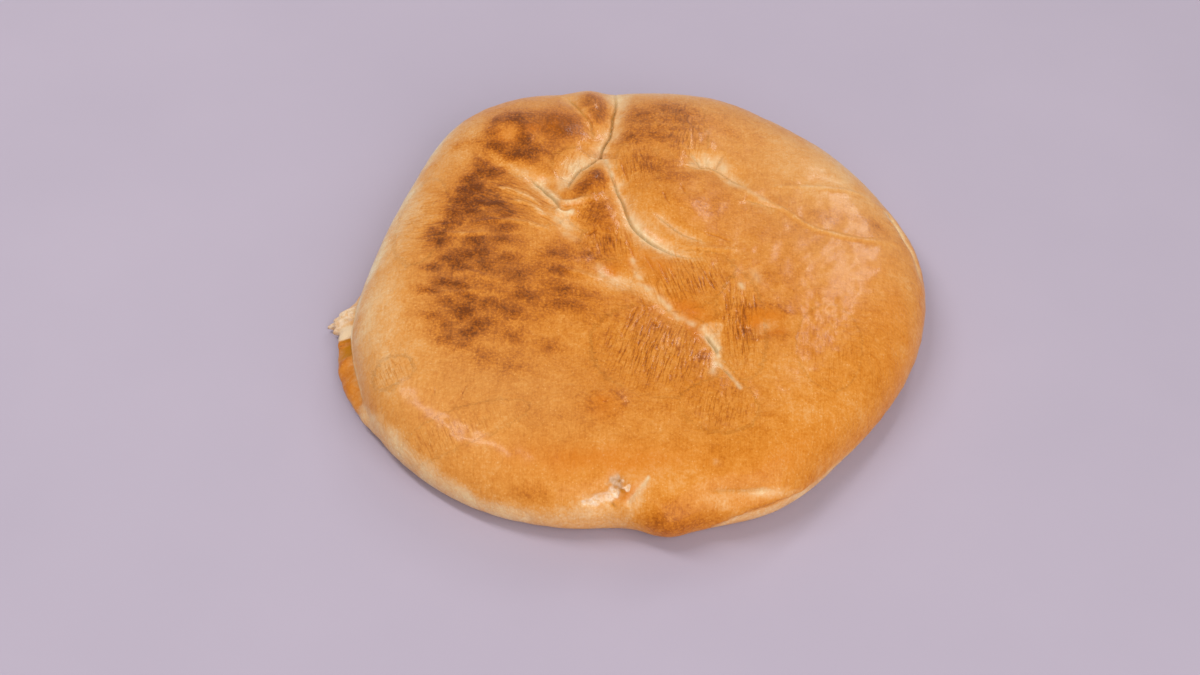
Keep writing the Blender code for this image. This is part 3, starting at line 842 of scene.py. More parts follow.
# Broad toasted areas: middle, half length and width, bearing, and how much darker they are
TOASTED = {
    "along the left": ((-80, 4), 42, 24, 80, 0.10),
    "lower left": ((-74, -38), 34, 24, 20, 0.10),
    "middle left": ((-46, -14), 24, 26, 0, 0.07),
    "round the dark arc": ((-82, 42), 24, 13, 68, 0.17),
    "back left": ((-66, 80), 24, 19, 0, 0.22),
    "back": ((-43, 95), 14, 13, 0, 0.15),
    "nub": ((-26, 110), 8, 13, 80, 0.11),
    "fork cushion": ((-25, 56), 10, 7, 60, 0.14),
    "brown patch": ((-24, 32), 12, 12, 0, 0.11),
    "below the fork": ((-24, 6), 14, 11, 0, 0.09),
    "back right": ((6, 98), 28, 17, 8, 0.17),
    "middle right": ((6, 66), 16, 9, 0, 0.10),
    "right of the middle": ((28, 40), 18, 7, 0, 0.09),
    "far back right": ((48, 96), 18, 8, -20, 0.08),
    "right ridge": ((92, 40), 14, 6, 0, 0.05),
    "orange streak": ((114, 36), 5, 2.6, -40, 0.12),
    "right rim": ((136, -14), 22, 3.5, 95, 0.04),
    "blister": ((17, -139), 13, 7, 0, 0.20),
    "bubble": ((-14, -86), 7, 7, 0, 0.08),
    "left of the dimple": ((47, -35), 11, 4.0, 90, 0.08),
    "above the dimple": ((60, -24), 9, 4.5, 0, 0.05),
    "middle": ((-8, -34), 40, 26, 0, 0.05),
    "below the dimple": ((62, -40), 9, 3, 10, 0.08),
    "seam side": ((29.8, -54.2), 3.6, 3.6, 0, 0.20),
    "front middle": ((0, -88), 60, 26, 0, 0.03),
    "left of the tear": ((-43, -130), 8, 5, 0, 0.07),
}

# Scorched blisters: their middles, half length and width, bearing, and how much darker they are
SCORCHED = {
    "knot at the top of the arc": ([(-79, 62), (-76, 58)], 4.0, 3.8, 0, 0.42),
    "beside the knot": ([(-70.5, 59)], 3.6, 3.2, 0, 0.30),
    "upper arc": ([(-81, 56), (-85, 52)], 4.8, 3.6, 25, 0.44),
    "middle of the arc": ([(-82, 47), (-87, 42), (-88, 36)], 3.8, 4.2, 60, 0.46),
    "foot of the arc": ([(-84, 32), (-79, 35), (-72, 34), (-84, 28)], 3.8, 2.6, 0, 0.44),
    "right foot of the arc": ([(-66, 29), (-66, 18)], 4.4, 4.0, 0, 0.38),
    "left foot of the arc": ([(-91, 27), (-92, 20)], 3.8, 3.8, 60, 0.44),
    "below the arc": ([(-97, 13), (-96, 8)], 5.0, 4.2, 0, 0.36),
    "upper streaks": ([(-73, 22), (-78, 8), (-66, 9)], 5.6, 2.8, 0, 0.34),
    "heart of the patch": ([(-76, 1), (-83, -1), (-89, -4), (-86, -7)], 4.6, 3.6, -10, 0.40),
    "right of the heart": ([(-72, -7), (-63, -3), (-57, -12)], 5.6, 3.0, 5, 0.27),
    "left of the heart": ([(-98, -9), (-82, -10)], 3.0, 2.6, 0, 0.34),
    "lower streaks": ([(-91, -19), (-84, -20), (-98, -24)], 5.4, 2.5, -15, 0.40),
    "lower row": ([(-89, -30), (-79, -28), (-69, -31)], 5.2, 3.0, -12, 0.31),
    "dark knot": ([(-81, -37)], 4.6, 4.2, 0, 0.44),
    "beside the dark knot": ([(-93, -40), (-89, -45)], 5.4, 3.4, -15, 0.31),
    "below the dark knot": ([(-74, -44), (-77, -49)], 4.2, 3.8, 30, 0.36),
    "lowest": ([(-87, -53), (-80, -57)], 4.6, 3.6, 0, 0.27),
    "low right": ([(-67, -42), (-59, -36), (-57, -50)], 4.8, 3.2, 0, 0.25),
    "foot of the patch": ([(-68, -63), (-57, -67)], 8.0, 5.6, -10, 0.17),
    "right side": ([(-40, 2), (-39, -8), (-54, -25)], 6.2, 3.2, 0, 0.28),
    "lower right side": ([(-37, -20), (-36, -29)], 9.0, 3.8, 0, 0.22),
    "by the seam": ([(-27, 4), (-27, -21), (-41, -54)], 5.0, 3.6, 0, 0.18),
    "top of the ring": ([(-67, 93), (-64, 97)], 5.0, 3.6, 0, 0.44),
    "right of the ring": ([(-61.5, 88), (-60.5, 80)], 3.4, 4.6, 0, 0.44),
    "foot of the ring": ([(-74, 75), (-66.5, 67.5), (-61, 69.5)], 4.6, 3.6, 0, 0.46),
    "left of the ring": ([(-77, 85), (-75, 92), (-71, 97)], 3.4, 4.2, 0, 0.34),
    "beside the ring": ([(-83, 78), (-91, 78), (-54, 73)], 5.4, 3.2, 0, 0.30),
    "back": ([(-47, 97), (-46, 90), (-40, 94), (-41, 87)], 5.4, 4.8, 0, 0.32),
    "nub": ([(-24, 103), (-28, 114)], 5.2, 5.2, 0, 0.18),
    "fork cushion": ([(-24, 55), (-31, 48.5)], 5.0, 3.6, 20, 0.34),
    "brown patch": ([(-21, 29), (-19, 23), (-21.5, 36)], 5.2, 4.2, 0, 0.18),
    "under the brown patch": ([(-16.5, 15)], 3.0, 6.0, 0, 0.14),
    "back right": ([(-3, 105), (8, 110), (18, 105), (-6, 87), (5, 87)], 8.4, 4.4, 0, 0.20),
    "middle right": ([(1, 72), (9, 67), (14, 59)], 7.4, 4.0, 0, 0.13),
    "right": ([(23, 41), (31, 35), (38, 46), (87, 39)], 8.4, 3.3, 0, 0.06),
    "ring round the bubble": (
        [(-19, -79), (-17, -81), (-20, -84), (-19.5, -88), (-16, -93), (-13.3, -90), (-11, -92), (-8, -90),
         (-5.5, -86), (-7, -81), (-10, -78)], 1.4, 1.1, 0, 0.17,
    ),
    "above the dimple": ([(50, -24), (54, -22.5), (58, -22), (62, -22.5), (67, -26)], 2.6, 1.6, 0, 0.16),
    "left of the dimple": ([(51, -43), (55.5, -41.4), (48.5, -37), (49, -30)], 2.0, 1.4, 0, 0.18),
}
HEAT_LIMIT = 0.54  # toasting levels off below this much darker
SCORCH_SPREAD = 1.12  # how far the scorch reaches past its blister
SCORCH_RAGGED = ([(1.1, 4.5, 36), (0.55, 2, 38)], [(1.1, 4.5, 37), (0.55, 2, 39)])
SCORCH_PLAIN = 0.9  # how strong the scorch is before its unevenness
SCORCH_UNEVEN = [(0.3, 4, 22)]

# The toasting is broken up by a net of lighter lines: sizes of its meshes, seed, width of its
# lines, how strong the toasting is on a line, and how much stronger in a mesh
NET_SIZE = (8, 5.5)
NET_SEED = 21
NET_LINE = 0.5
NET_PLAIN = 0.8
NET_RISE = 0.6

# Paler places: middle, half length and width, bearing, and how much paler they are
PALE = {
    "star fan": ((31, 75), 10, 5.5, -10, 0.19),
    "below the left fold": ((-35, 22), 10, 6, -60, 0.22),
    "bank of the fork": ((-35, 67), 13, 5.5, 50, 0.12),
    "seam start": ((-16, -10), 13, 7.5, -20, 0.15),
    "seam middle": ((3, -15), 10, 4.5, -45, 0.09),
    "lower seam": ((16, -30), 10, 3.8, -42, 0.05),
    "under the seam start": ((-28, -16), 10, 5, 0, 0.08),
    "seam triangle": ((34, -41), 5.5, 5.5, -40, 0.10),
    "dimple": ((57.5, -33.6), 4.8, 3.2, 0, 0.32),
    "under the dimple": ((54.5, -38.8), 2.8, 2.0, 0, 0.20),
    "bubble's foot": ((-16, -91), 1.7, 1.4, 0, 0.25),
    "beside the triangle": ((24, -57), 6, 5, 0, 0.05),
    "left edge": ((-122, 20), 17, 56, -8, 0.26),
    "back left edge": ((-102, 92), 17, 40, 42, 0.25),
    "lower left edge": ((-118, -46), 18, 30, 25, 0.18),
    "right back": ((90, 82), 42, 30, -40, 0.16),
    "back edge": ((-20, 130), 60, 9, 0, 0.22),
    "far right edge": ((104, 84), 44, 9, 130, 0.12),
    "back fold": ((-14, 108), 30, 5, 98, 0.08),
    "ring's middle": ((-69, 82.5), 5.5, 5.5, 0, 0.14),
    "under the tear": ((-14, -140), 24, 6, 3, 0.04),
    "round the tear": ((-12, -131), 11, 5.0, 38, 0.18),
    "right of the tear": ((1.6, -131.5), 8, 3.2, 62, 0.19),
    "front crease": ((55, -122.8), 18, 2.0, 12, 0.30),
    "front crease end": ((38, -129), 8, 2.4, -10, 0.16),
    "shoulder of the blister": ((34, -120), 30, 6, 5, 0.05),
}
PALE_PLAIN = 0.9
PALE_UNEVEN = [(0.35, 7, 40)]
# The ridges between the fine wrinkles are painted paler as a highlight
RIDGE_HIGHLIGHT = 0.02  # how much paler the ridges between the fine wrinkles are
# The creases and hair cracks are darkened with painted shade
CREASE_SHADE = 0.13  # how much darker the creases are
BAKE_UNEVEN = [(0.040, 34, 25), (0.035, 12, 26), (0.03, 5, 29)]

# Amber places, where the skin is glassy: middle, half length and width, bearing, and how amber
AMBER = {
    "right rim": ((119, -28), 12, 44, 8, 0.3),
    "front": ((-14, -114), 40, 7, 4, 0.75),
    "front right": ((66, -106), 34, 10, 35, 0.4),
    "front edge": ((60, -134), 32, 4.5, 30, 0.85),
    "round the dimple": ((55, -32), 13, 10, 0, 0.6),
    "left of the dimple": ((52.8, -32), 4.6, 2.6, 90, 1.3),
    "above the dimple": ((59.5, -27), 5.5, 3.0, 0, 0.6),
    "below the dimple": ((62.4, -38), 4.4, 2.4, 10, 0.8),
    "right of the seam": ((23, -26), 11, 4.5, -35, 1.0),
    "seam start": ((-14, -4), 4, 3, 0, 0.9),
    "left of the seam": ((9, -28), 6, 3, -40, 0.6),
    "left of the triangle": ((25, -37.5), 8, 3.0, -60, 0.9),
    "bubble": ((-14.5, -87), 6.0, 6.5, 0, 0.9),
    "blister": ((17, -137), 13, 8, 0, 0.2),
    "under the middle fold": ((6, 0), 18, 8, -35, 0.6),
    "back left bubble": ((-69, 82), 7, 7, 0, 0.6),
    "back": ((-44, 93), 11, 10, 0, 0.5),
    "beside the back": ((-57.5, 88), 3.4, 3.4, 0, 0.7),
    "tear": ((-3, -128.8), 5.5, 2.8, 40, 1.3),
    "by the brown patch": ((-18, 24), 8, 5, 90, 0.4),
}
AMBER_SHARE = 0.68
AMBER_LIMIT = 1.35
AMBER_PLAIN = 0.85
AMBER_UNEVEN = [(0.4, 8, 27), (0.3, 2.6, 45)]
AMBER_PATCH_LIMIT = 1.15

# Painted sheen, a pale grey laid into the crust's colour where it catches a soft reflection:
# middle, half length and width, bearing, share
PAINTED_SHEEN_PATCHES = {
    "toasted side": ((-74, -4), 60, 36, 85, 0.08),
    "back": ((0, 126), 120, 42, 0, 0.20),
    "left rim": ((-118, -30), 26, 80, 0, 0.10),
    "front left": ((-60, -80), 56, 30, -25, 0.10),
    "front left rim": ((-80, -116), 22, 50, 55, 0.07),
    "right back": ((100, 56), 66, 46, -50, 0.19),
    "left back": ((-104, 84), 46, 34, 50, 0.10),
}
# The painted sheen fades to nothing on toasted crust this much darker
SHEEN_TOAST_LIMIT = 0.42  # how much darker toasted crust must be to show no veil

# Pale side round the loaf, where the heat came least: bearing, how far above the widest line
# it starts along the crust, how soft its edge is, and how much paler it is
SIDE = [
    (0, -2, 6, 0.09), (12, 4, 6, 0.12), (30, 12, 8, 0.18), (60, 14, 10, 0.26), (90, 14, 10, 0.27),
    (120, 16, 10, 0.28), (150, 16, 12, 0.25), (180, 14, 10, 0.24), (192, 8, 6, 0.22), (199, 2, 4, 0.16),
    (210, 2, 5, 0.20), (223, 10, 9, 0.29), (233, 9.5, 9, 0.32), (248, 8, 9.5, 0.27), (257, 9, 9.5, 0.21),
    (265, 10, 8, 0.15), (271, 5, 7, 0.12), (276, -6, 4, 0.14), (282, -7, 2.5, 0.17), (287, 0.5, 1.4, 0.22),
    (293, 3.0, 1.4, 0.25), (300, 3.2, 1.4, 0.26), (307, 2.4, 1.8, 0.25), (316, 0.5, 2.6, 0.22),
    (326, -2, 4, 0.16), (340, -5, 5, 0.09),
]
SIDE_SWAY = [(0.35, 13, 23), (0.2, 5, 24)]
SIDE_UNEVEN = [(0.2, 9, 30)]

# Pale patch in the seam where the skin drew apart: its corners, how much paler it is, and how
# far its edge blurs
SEAM_PATCH = [(27.5, -33.2), (27.6, -36.7), (31.3, -45.5), (35, -56), (37.9, -46), (38.2, -33.6)]
SEAM_PATCH_PALE = 0.21
SEAM_PATCH_EDGE = 1.4

# Relief of the plain crust, of the scorched blisters and of torn crumb
CRUST_UNEVEN = [(0.15, 6, 31), (0.10, 3.2, 32), (0.05, 1.9, 35)]
BLISTER_RISE = 1.2
CRUMB_ROUGH = [(0.7, 2.4, 33), (0.35, 1.5, 34)]

# The grain shows a little on golden crust and more where it is toasted
SPECKLED_PLAIN = 0.07
SPECKLED_TOAST = 0.24
CRUMB_DULL = 0.4  # how much rougher torn crumb is than crust
BASE_DULL = 0.3
BASE_AT = LENGTH[-1] - TO_WIDEST  # distance past the widest line where the flat base starts
BASE_EASE = 4
SLOPE_STEP = 0.2  # along the crust, over which its slope is worked out


def inside(x, y, corners, edge):
    """1 inside a patch with these corners, counted anticlockwise, easing to 0 over its edge."""
    depth = np.full(x.shape, np.inf)
    for start, end in zip(corners, corners[1:] + corners[:1]):
        along, up = end[0] - start[0], end[1] - start[1]
        depth = np.minimum(depth, (along * (y - start[1]) - up * (x - start[0])) / math.hypot(along, up))
    return eased(depth / edge + 0.5)


def browning(x, y, bearing, below, paleness, creases, ridges):
    """How far each place is baked, and how much amber, toast, scorch and painted sheen it shows."""
    heat = sum(amount * oval(x, y, *place) for *place, amount in TOASTED.values())
    bent_x, bent_y = strayed(x, y, SCORCH_RAGGED)
    scorch = np.zeros(x.shape)
    for middles, half_long, half_wide, turned, amount in SCORCHED.values():
        reach, width = SCORCH_SPREAD * half_long, SCORCH_SPREAD * half_wide
        for middle in middles:
            scorch = np.maximum(scorch, amount * oval(bent_x, bent_y, middle, reach, width, turned))
    net = np.abs(lumps(bent_x / NET_SIZE[0], bent_y / NET_SIZE[1], 1, NET_SEED))
    toast = heat * (NET_PLAIN + NET_RISE * eased(net / NET_LINE))
    toast += scorch * (SCORCH_PLAIN + unevenness(x, y, SCORCH_UNEVEN))
    toast = HEAT_LIMIT * np.tanh(toast / HEAT_LIMIT)
    pale = sum(amount * oval(x, y, *place) for *place, amount in PALE.values())
    pale += SEAM_PATCH_PALE * inside(bent_x, bent_y, SEAM_PATCH, SEAM_PATCH_EDGE)
    pale *= PALE_PLAIN + unevenness(x, y, PALE_UNEVEN)
    at, starts, softness, paler = np.array(SIDE, float).T
    soft = np.interp(bearing, at, softness, period=360)
    start = soft * unevenness(x, y, SIDE_SWAY) - np.interp(bearing, at, starts, period=360)
    side = past(below, start, soft)
    bake = GOLDEN + toast - pale - paleness - RIDGE_HIGHLIGHT * ridges + CREASE_SHADE * creases
    bake += unevenness(x, y, BAKE_UNEVEN)
    bake -= side * np.interp(bearing, at, paler, period=360) * (1 + unevenness(x, y, SIDE_UNEVEN))
    amber = sum(amount * oval(x, y, *place) for *place, amount in AMBER.values())
    patchy = (AMBER_PLAIN + unevenness(x, y, AMBER_UNEVEN)).clip(0, AMBER_PATCH_LIMIT)
    amber *= (1 - side) * patchy
    # Painted sheen, taken off where the crust is toasted
    painted_sheen = sum(share * oval(x, y, *place) for *place, share in PAINTED_SHEEN_PATCHES.values())
    return bake, amber, toast, scorch, painted_sheen * (1 - toast / SHEEN_TOAST_LIMIT).clip(0, 1)


def lift_crust(mesh):
    """Lifts the flat mesh into the form of the loaf and notes how each place was baked."""
    places = np.array([vert.co[:2] for vert in mesh.verts])
    x, y = places[:, 0], places[:, 1]
    bearing, along = np.degrees(np.arctan2(y, x)) % 360, np.hypot(x, y)
    rim = rim_distance(bearing)
    below = along - (rim - SHOULDER) - TO_WIDEST
    out, up = plain_form(rim, along)
    out_before, up_before = plain_form(rim, along - SLOPE_STEP)
    out_after, up_after = plain_form(rim, along + SLOPE_STEP)
    slope = np.hypot(out_after - out_before, up_after - up_before)
    face_out, face_up = (up_before - up_after) / slope, (out_after - out_before) / slope

    folds, paleness, slits, long_creases = fold_relief(x, y)
    seam, seam_crumb, wall, gap, lip, edge = torn_seam(bearing, below, rim)
    wrinkles, creases, ridges = wrinkle_relief(x, y)
    creases = np.maximum(creases, long_creases)
    tear, tear_crumb, hollow, tear_holes = front_tear(x, y)
    crumb = np.maximum(SEAM_CRUMB * seam_crumb, TEAR_CRUMB * tear_crumb)
    base = past(below, BASE_AT - BASE_EASE / 2, BASE_EASE)
    across, along_pucker, pucker = pucker_grid(x, y)

    bake, amber, toast, scorch, painted_sheen = browning(x, y, bearing, below, paleness, creases, ridges)
    over_seam = between(bearing, *OVER_SEAM) * bell(below + OVER_SEAM_ABOVE, OVER_SEAM_HALF)
    bake = bake * (1 - lip) + LIP_BAKE * lip - EDGE_HIGHLIGHT * edge - OVER_SEAM_PALE * over_seam
    bake += lip * unevenness(LIP_STRETCH[0] * bearing, LIP_STRETCH[1] * below, LIP_STREAKS)
    amber = np.maximum(amber, LIP_AMBER * lip) * (1 - edge.clip(0, 1))

    relief = folds + swell_relief(x, y) + seam + tear + wrinkles + unevenness(x, y, CRUST_UNEVEN)
    relief += BLISTER_RISE * scorch + crumb * unevenness(x, y, CRUMB_ROUGH)
    relief *= eased((BASE_AT - below) / (TUCK / 2))
    out, up = out + relief * face_out, np.maximum(up + relief * face_up, 0)
    turn = np.radians(bearing)
    points = np.stack([out * np.cos(turn), out * np.sin(turn), up], axis=1)
    points[:, :2] -= MIDDLE

    notes = {
        "bake": bake, "speckled": SPECKLED_PLAIN + SPECKLED_TOAST * toast,
        "amber": AMBER_SHARE * amber.clip(0, AMBER_LIMIT), "painted_sheen": painted_sheen * (1 - lip),
        "flour": flour_dust(x, y), "slit": slits, "crumb": crumb, "wall": wall, "hollow": hollow,
        "hole_shade": np.maximum(gap, tear_holes), "base": base, "dull": CRUMB_DULL * crumb + BASE_DULL * base,
        "across": across, "along": along_pucker, "pucker": pucker * (1 - base) * (1 - crumb),
    }
    return points * MM, notes


def make_bread():
    """The loaf as one piece, with its baking noted at every corner of the mesh."""
    mesh = flat_crust()
    points, notes = lift_crust(mesh)
    data = bpy.data.meshes.new("pogacha_loaf")
    mesh.to_mesh(data)
    mesh.free()
    data.vertices.foreach_set("co", points.ravel())
    for name, amounts in notes.items():
        layer = data.attributes.new(name, "FLOAT", "POINT")
        layer.data.foreach_set("value", amounts.astype(np.float32))
    data.shade_smooth()
    data.update()
    loaf = bpy.data.objects.new("pogacha_loaf", data)
    bpy.context.collection.objects.link(loaf)
    return loaf


bread = make_bread()


# The crust's finish
# Baked wheat crust: thin, hard and browned by heat, with a low shine where the skin is tight
# and a fine grain of blisters about a millimetre across. Torn crumb is white and matt.
def colour(code):
    """An sRGB hex colour as linear values."""
    values = [int(code[i:i + 2], 16) / 255 for i in (1, 3, 5)]
    return tuple(v / 12.92 if v <= 0.04045 else ((v + 0.055) / 1.055) ** 2.4 for v in values) + (1,)


def add(tree, kind, settings=None, links=None):
    """Adds one node with its settings and the values or sockets that go into its inputs."""
    node = tree.nodes.new(kind)
    for name, value in (settings or {}).items():
        setattr(node, name, value)
    for name, value in (links or {}).items():
        if isinstance(value, bpy.types.NodeSocket):
            tree.links.new(value, node.inputs[name])
        else:
            node.inputs[name].default_value = value
    return node


BAKE_COLOURS = [
    (0.00, "#F2E1C3"), (0.14, "#E9C896"), (0.28, "#E2B079"), (0.40, "#DC9C58"), (0.52, "#D58832"),
    (0.64, "#C67419"), (0.76, "#AB5B08"), (0.88, "#8C4500"), (1.00, "#6A3000"),
]
CRUST_IOR = 1.40
CRUST_ROUGHNESS = 0.44
CRUST_SHINE = "#EFC08C"  # the browned skin tints what it mirrors
GLAZE = 0.24  # share of the crust's thin sheen, which mirrors more sharply
GLAZE_ROUGHNESS = 0.185
GLAZE_IOR = 1.45
GRAINS = {  # size in mm, detail, roughness of the detail, and the range that becomes -1 to 1
    "fine": (1.2, 3.0, 0.65, 0.32, 0.68),
    "middling": (3.2, 2.0, 0.5, 0.30, 0.70),
    "broad": (11.0, 2.0, 0.5, 0.30, 0.70),
    "crumbly": (1.6, 4.0, 0.6, 0.35, 0.65),
    "dusty": (5.0, 4.0, 0.5, 0.42, 0.66),
}
NOTED = [
    "bake", "amber", "speckled", "slit", "flour", "crumb", "wall", "hollow", "hole_shade", "base", "dull",
    "across", "along", "pucker", "painted_sheen",
]

# Bright specks: mm between them, how far out they fade and are full as shares of that, and the
# random values of those that show. They are single flour grains, and painted glints where tiny
# blisters catch the light. Real flour grains are a tenth of a millimetre, and the specks are
# drawn coarser, so that they show.
SPECK_SIZE = 1.5
SPECK_EDGE = (0.30, 0.12)
SPECK_CHOICE = (0.50, 0.75)

# Finest puckers: mm across and along them, detail, and the noise from which they sink to where
# they are deepest. Real ones are half as wide, and too fine to show.
PUCKER_SIZE = (0.8, 9.0)
PUCKER_DETAIL = 2.0
PUCKER_EDGE = (0.49, 0.38)

# How much each part of the grain darkens the crust, how high in mm it stands, and its shine.
# The furrow's darkening is painted shade in the finest puckers.
# The specks' lightening is partly painted glints
GRAIN_BAKE = {"specks": -0.13, "middling": 0.04, "broad": 0.03, "furrow": 0.18}
GRAIN_RISE = {"fine": 0.055, "middling": 0.09, "furrow": -0.22, "specks": 0.05}
CRUMB_RISE = 0.15
SHINE_UNEVEN = 0.06
BUMP_STRENGTH = 0.9


def baked_wheat_crust():
    """The crust's material, from the baking noted at each corner and a grain of real sizes."""
    crust = bpy.data.materials.new("Baked wheat crust")
    crust.use_nodes = True
    tree = crust.node_tree
    surface = tree.nodes["Principled BSDF"]
    place = add(tree, "ShaderNodeTexCoord").outputs["Object"]
    noted = {}
    for name in NOTED:
        noted[name] = add(tree, "ShaderNodeAttribute", {"attribute_name": name}).outputs["Fac"]
    grain = {}
    for name, (size, detail, rough, low, high) in GRAINS.items():
        noise = add(tree, "ShaderNodeTexNoise", None, {
            "Vector": place, "Scale": 1 / (size * MM), "Detail": detail, "Roughness": rough,
        })
        grain[name] = add(tree, "ShaderNodeMapRange", None, {
            "Value": noise.outputs["Fac"], "From Min": low, "From Max": high, "To Min": -1.0,
        }).outputs["Result"]

    grain["crumbs"] = add(tree, "ShaderNodeMapRange", None, {
        "Value": grain["crumbly"], "From Min": -1.0, "From Max": 1.0,
    }).outputs["Result"]

    # Bright specks: single flour grains, and painted glints where tiny blisters catch the light
    cells = add(tree, "ShaderNodeTexVoronoi", None, {"Vector": place, "Scale": 1 / (SPECK_SIZE * MM)})
    spots = add(tree, "ShaderNodeMapRange", None, {
        "Value": cells.outputs["Distance"], "From Min": SPECK_EDGE[0], "From Max": SPECK_EDGE[1],
    })
    some = add(tree, "ShaderNodeMapRange", None, {
        "Value": cells.outputs["Color"], "From Min": SPECK_CHOICE[0], "From Max": SPECK_CHOICE[1],
    })
    grain["specks"] = add(tree, "ShaderNodeMath", {"operation": "MULTIPLY"}, {
        0: spots.outputs["Result"], 1: some.outputs["Result"],
    }).outputs[0]

    # The finest puckers run along the creases beside the folds
    across = add(tree, "ShaderNodeMath", {"operation": "DIVIDE"}, {0: noted["across"], 1: PUCKER_SIZE[0]})
    along = add(tree, "ShaderNodeMath", {"operation": "DIVIDE"}, {0: noted["along"], 1: PUCKER_SIZE[1]})
    laid = add(tree, "ShaderNodeCombineXYZ", None, {"X": across.outputs[0], "Y": along.outputs[0]})
    puckers = add(tree, "ShaderNodeTexNoise", None, {
        "Vector": laid.outputs[0], "Scale": 1.0, "Detail": PUCKER_DETAIL,
    })
    sunk = add(tree, "ShaderNodeMapRange", None, {
        "Value": puckers.outputs["Fac"], "From Min": PUCKER_EDGE[0], "From Max": PUCKER_EDGE[1],
    })
    grain["furrow"] = add(tree, "ShaderNodeMath", {"operation": "MULTIPLY"}, {
        0: sunk.outputs["Result"], 1: noted["pucker"],
    }).outputs[0]

    # How far the crust is baked, with its grain, chooses the colour
    baked = noted["bake"]
    for part, times in {"fine": noted["speckled"], **GRAIN_BAKE}.items():
        baked = add(tree, "ShaderNodeMath", {"operation": "MULTIPLY_ADD"}, {
            0: grain[part], 1: times, 2: baked,
        }).outputs[0]
    ramp = add(tree, "ShaderNodeValToRGB", None, {"Fac": baked})
    steps = ramp.color_ramp.elements
    for at, code in BAKE_COLOURS[1:-1]:
        steps.new(at)
    for step, (at, code) in zip(steps, BAKE_COLOURS):
        step.position = at
        step.color = colour(code)

    # Crumb, flour and the rest lie over the crust in this order
    torn = add(tree, "ShaderNodeMix", {"data_type": "RGBA"}, {
        0: grain["crumbs"], 6: colour("#EBBC88"), 7: colour("#FCEDD6"),
    })
    # The crumb down in the hollow is painted in shade, as a darker copy of the torn crumb
    shaded = add(tree, "ShaderNodeMix", {"data_type": "RGBA"}, {
        0: grain["crumbs"], 6: colour("#B98F66"), 7: colour("#D6B595"),
    })
    floury = add(tree, "ShaderNodeMath", {"operation": "MULTIPLY"}, {0: noted["base"], 1: grain["dusty"]})
    skin = ramp.outputs["Color"]
    for share, over in (
        # The first layer is painted sheen: a pale grey where the crust catches a soft reflection
        (noted["painted_sheen"], colour("#CFB587")), (noted["amber"], colour("#CB6C00")),
        # The slit colour is painted shade, with an olive-brown tint
        (noted["flour"], colour("#DFC69C")), (noted["slit"], colour("#8F6820")),
        (floury.outputs[0], colour("#E2CDAE")), (noted["wall"], colour("#EFD0A8")),
        # The hollow's crumb takes the painted shaded copy
        (noted["hollow"], shaded.outputs[2]), (noted["crumb"], torn.outputs[2]),
        # The gap and the holes are painted shade, in a warm amber
        (noted["hole_shade"], colour("#BE7800")),
    ):
        skin = add(tree, "ShaderNodeMix", {"data_type": "RGBA"}, {0: share, 6: skin, 7: over}).outputs[2]
    tree.links.new(skin, surface.inputs["Base Color"])

    shine = add(tree, "ShaderNodeMath", {"operation": "MULTIPLY_ADD"}, {
        0: grain["middling"], 1: SHINE_UNEVEN, 2: noted["dull"],
    })
    rough = add(tree, "ShaderNodeMath", {"operation": "ADD"}, {0: shine.outputs[0], 1: CRUST_ROUGHNESS})
    tree.links.new(rough.outputs[0], surface.inputs["Roughness"])
    surface.inputs["IOR"].default_value = CRUST_IOR
    surface.inputs["Specular Tint"].default_value = colour(CRUST_SHINE)
    surface.inputs["Metallic"].default_value = 0.0
    surface.inputs["Coat Weight"].default_value = GLAZE
    surface.inputs["Coat Roughness"].default_value = GLAZE_ROUGHNESS
    surface.inputs["Coat IOR"].default_value = GLAZE_IOR

    # The height of the grain in mm
    ragged = add(tree, "ShaderNodeMath", {"operation": "MULTIPLY"}, {
        0: grain["crumbly"], 1: noted["crumb"],
    })
    height = add(tree, "ShaderNodeMath", {"operation": "MULTIPLY"}, {
        0: ragged.outputs[0], 1: CRUMB_RISE,
    }).outputs[0]
    for part, times in GRAIN_RISE.items():
        height = add(tree, "ShaderNodeMath", {"operation": "MULTIPLY_ADD"}, {
            0: grain[part], 1: times, 2: height,
        }).outputs[0]
    bump = add(tree, "ShaderNodeBump", None, {"Height": height, "Distance": MM, "Strength": BUMP_STRENGTH})
    tree.links.new(bump.outputs["Normal"], surface.inputs["Normal"])
    return crust


bread.data.materials.append(baked_wheat_crust())
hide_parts("bread")
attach(bread, "root")


# The floor
# A plain studio table that carries the loaf, with an even matt coat of pale lilac-grey paint.
# It has no shine to speak of, so the eye sees only the loaf's soft shadow on it.
FLOOR_SIDE = 6.0
FLOOR_ROUGHNESS = 0.9
FLOOR_CLOUDS = 9.0  # faint clouds in its coat for each metre
FLOOR_DETAIL = 4.0


def studio_floor():
    """The table as a wide flat sheet with its matt paint."""
    bpy.ops.mesh.primitive_plane_add(size=FLOOR_SIDE)
    floor = bpy.context.object
    floor.name = "studio_floor"
    paint = bpy.data.materials.new("Matt studio paint")
    paint.use_nodes = True
    tree = paint.node_tree
    surface = tree.nodes["Principled BSDF"]
    place = add(tree, "ShaderNodeTexCoord").outputs["Object"]
    cloud = add(tree, "ShaderNodeTexNoise", None, {
        "Vector": place, "Scale": FLOOR_CLOUDS, "Detail": FLOOR_DETAIL,
    })
    tint = add(tree, "ShaderNodeMix", {"data_type": "RGBA"}, {
        0: cloud.outputs["Fac"], 6: colour("#ADA2B2"), 7: colour("#B5A9B9"),
    })
    tree.links.new(tint.outputs[2], surface.inputs["Base Color"])
    surface.inputs["Roughness"].default_value = FLOOR_ROUGHNESS
    floor.data.materials.append(paint)
    return floor


studio_floor()


# The light
# Soft studio light: an even pale surround, a broad panel in front and a low one behind. A tall
# window high on the left and two small lamps behind give the low shine on the shoulders.
SURROUND_COLOUR = (1.0, 0.985, 0.97, 1.0)
SURROUND_STRENGTH = 0.385

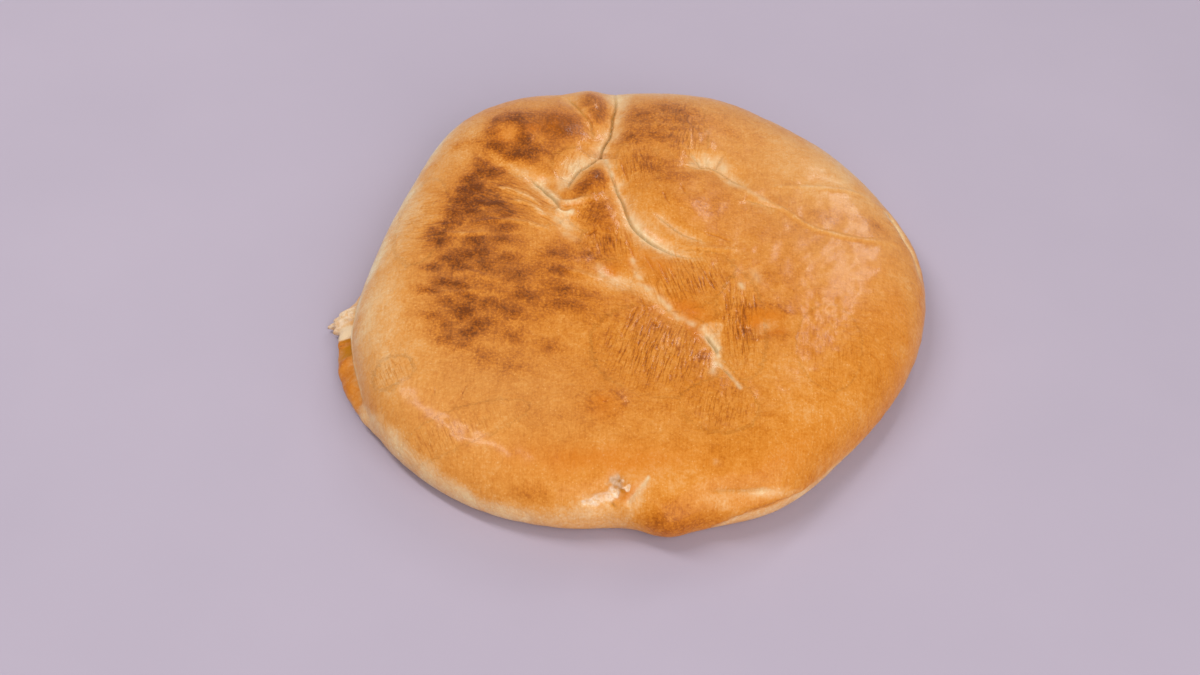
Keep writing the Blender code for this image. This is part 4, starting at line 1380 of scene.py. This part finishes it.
# Place, width and height in metres, power, and turn about its own line of sight in degrees
LAMPS = {
    "left window": ((-0.70, 0.10, 1.31), 0.17, 0.95, 9.5, -27),
    "back window": ((0.38, 1.07, 1.10), 0.06, 0.42, 2.0, 0),
    "back lamp": ((0.50, 1.07, 0.83), 0.13, 0.20, 1.5, 0),
    "back panel": ((0.2, 1.5, 0.55), 2.6, 0.9, 1.2, 0),
    "front panel": ((0.75, -1.36, 1.0), 2.0, 2.0, 29.3, 0),
}


def add_light():
    """The lamps, each facing the middle of the loaf, and the pale surround."""
    for name, (place, width, height, power, turn) in LAMPS.items():
        lamp = bpy.data.lights.new(name, "AREA")
        lamp.shape = "RECTANGLE"
        lamp.size = width
        lamp.size_y = height
        lamp.energy = power
        holder = bpy.data.objects.new(name, lamp)
        holder.location = place
        facing = (-Vector(place)).to_track_quat("-Z", "Y")
        holder.rotation_euler = (facing @ Quaternion((0, 0, 1), math.radians(turn))).to_euler()
        bpy.context.collection.objects.link(holder)
    surround = bpy.data.worlds.new("Surround")
    surround.use_nodes = True
    sky = surround.node_tree.nodes["Background"]
    sky.inputs["Color"].default_value = SURROUND_COLOUR
    sky.inputs["Strength"].default_value = SURROUND_STRENGTH
    bpy.context.scene.world = surround
    bpy.context.scene.view_settings.view_transform = "Standard"


add_light()


# The camera
# It looks down at the loaf from the front, about halfway between level and straight down, and
# is turned a little about its own line of sight.
AIM = (-14.68, -16.64, 0.0)  # mm
DISTANCE = 906.0  # mm
ELEVATION = 48.5  # degrees above the table
FIELD = 35.0  # degrees across the picture
ROLL = -3.2  # degrees


def add_camera():
    """The camera at its distance from the aim, level first and then turned by its roll."""
    lens = bpy.data.cameras.new("Camera")
    lens.angle = math.radians(FIELD)
    camera = bpy.data.objects.new("Camera", lens)
    bpy.context.collection.objects.link(camera)
    rise, roll = math.radians(ELEVATION), math.radians(ROLL)
    back = Vector((0, -math.cos(rise), math.sin(rise)))
    level_right = Vector((1, 0, 0))
    level_up = back.cross(level_right)
    right = math.cos(roll) * level_right - math.sin(roll) * level_up
    up = math.sin(roll) * level_right + math.cos(roll) * level_up
    eye = (Vector(AIM) + DISTANCE * back) * MM
    camera.matrix_world = Matrix((right, up, back)).transposed().to_4x4()
    camera.location = eye
    bpy.context.scene.camera = camera


add_camera()
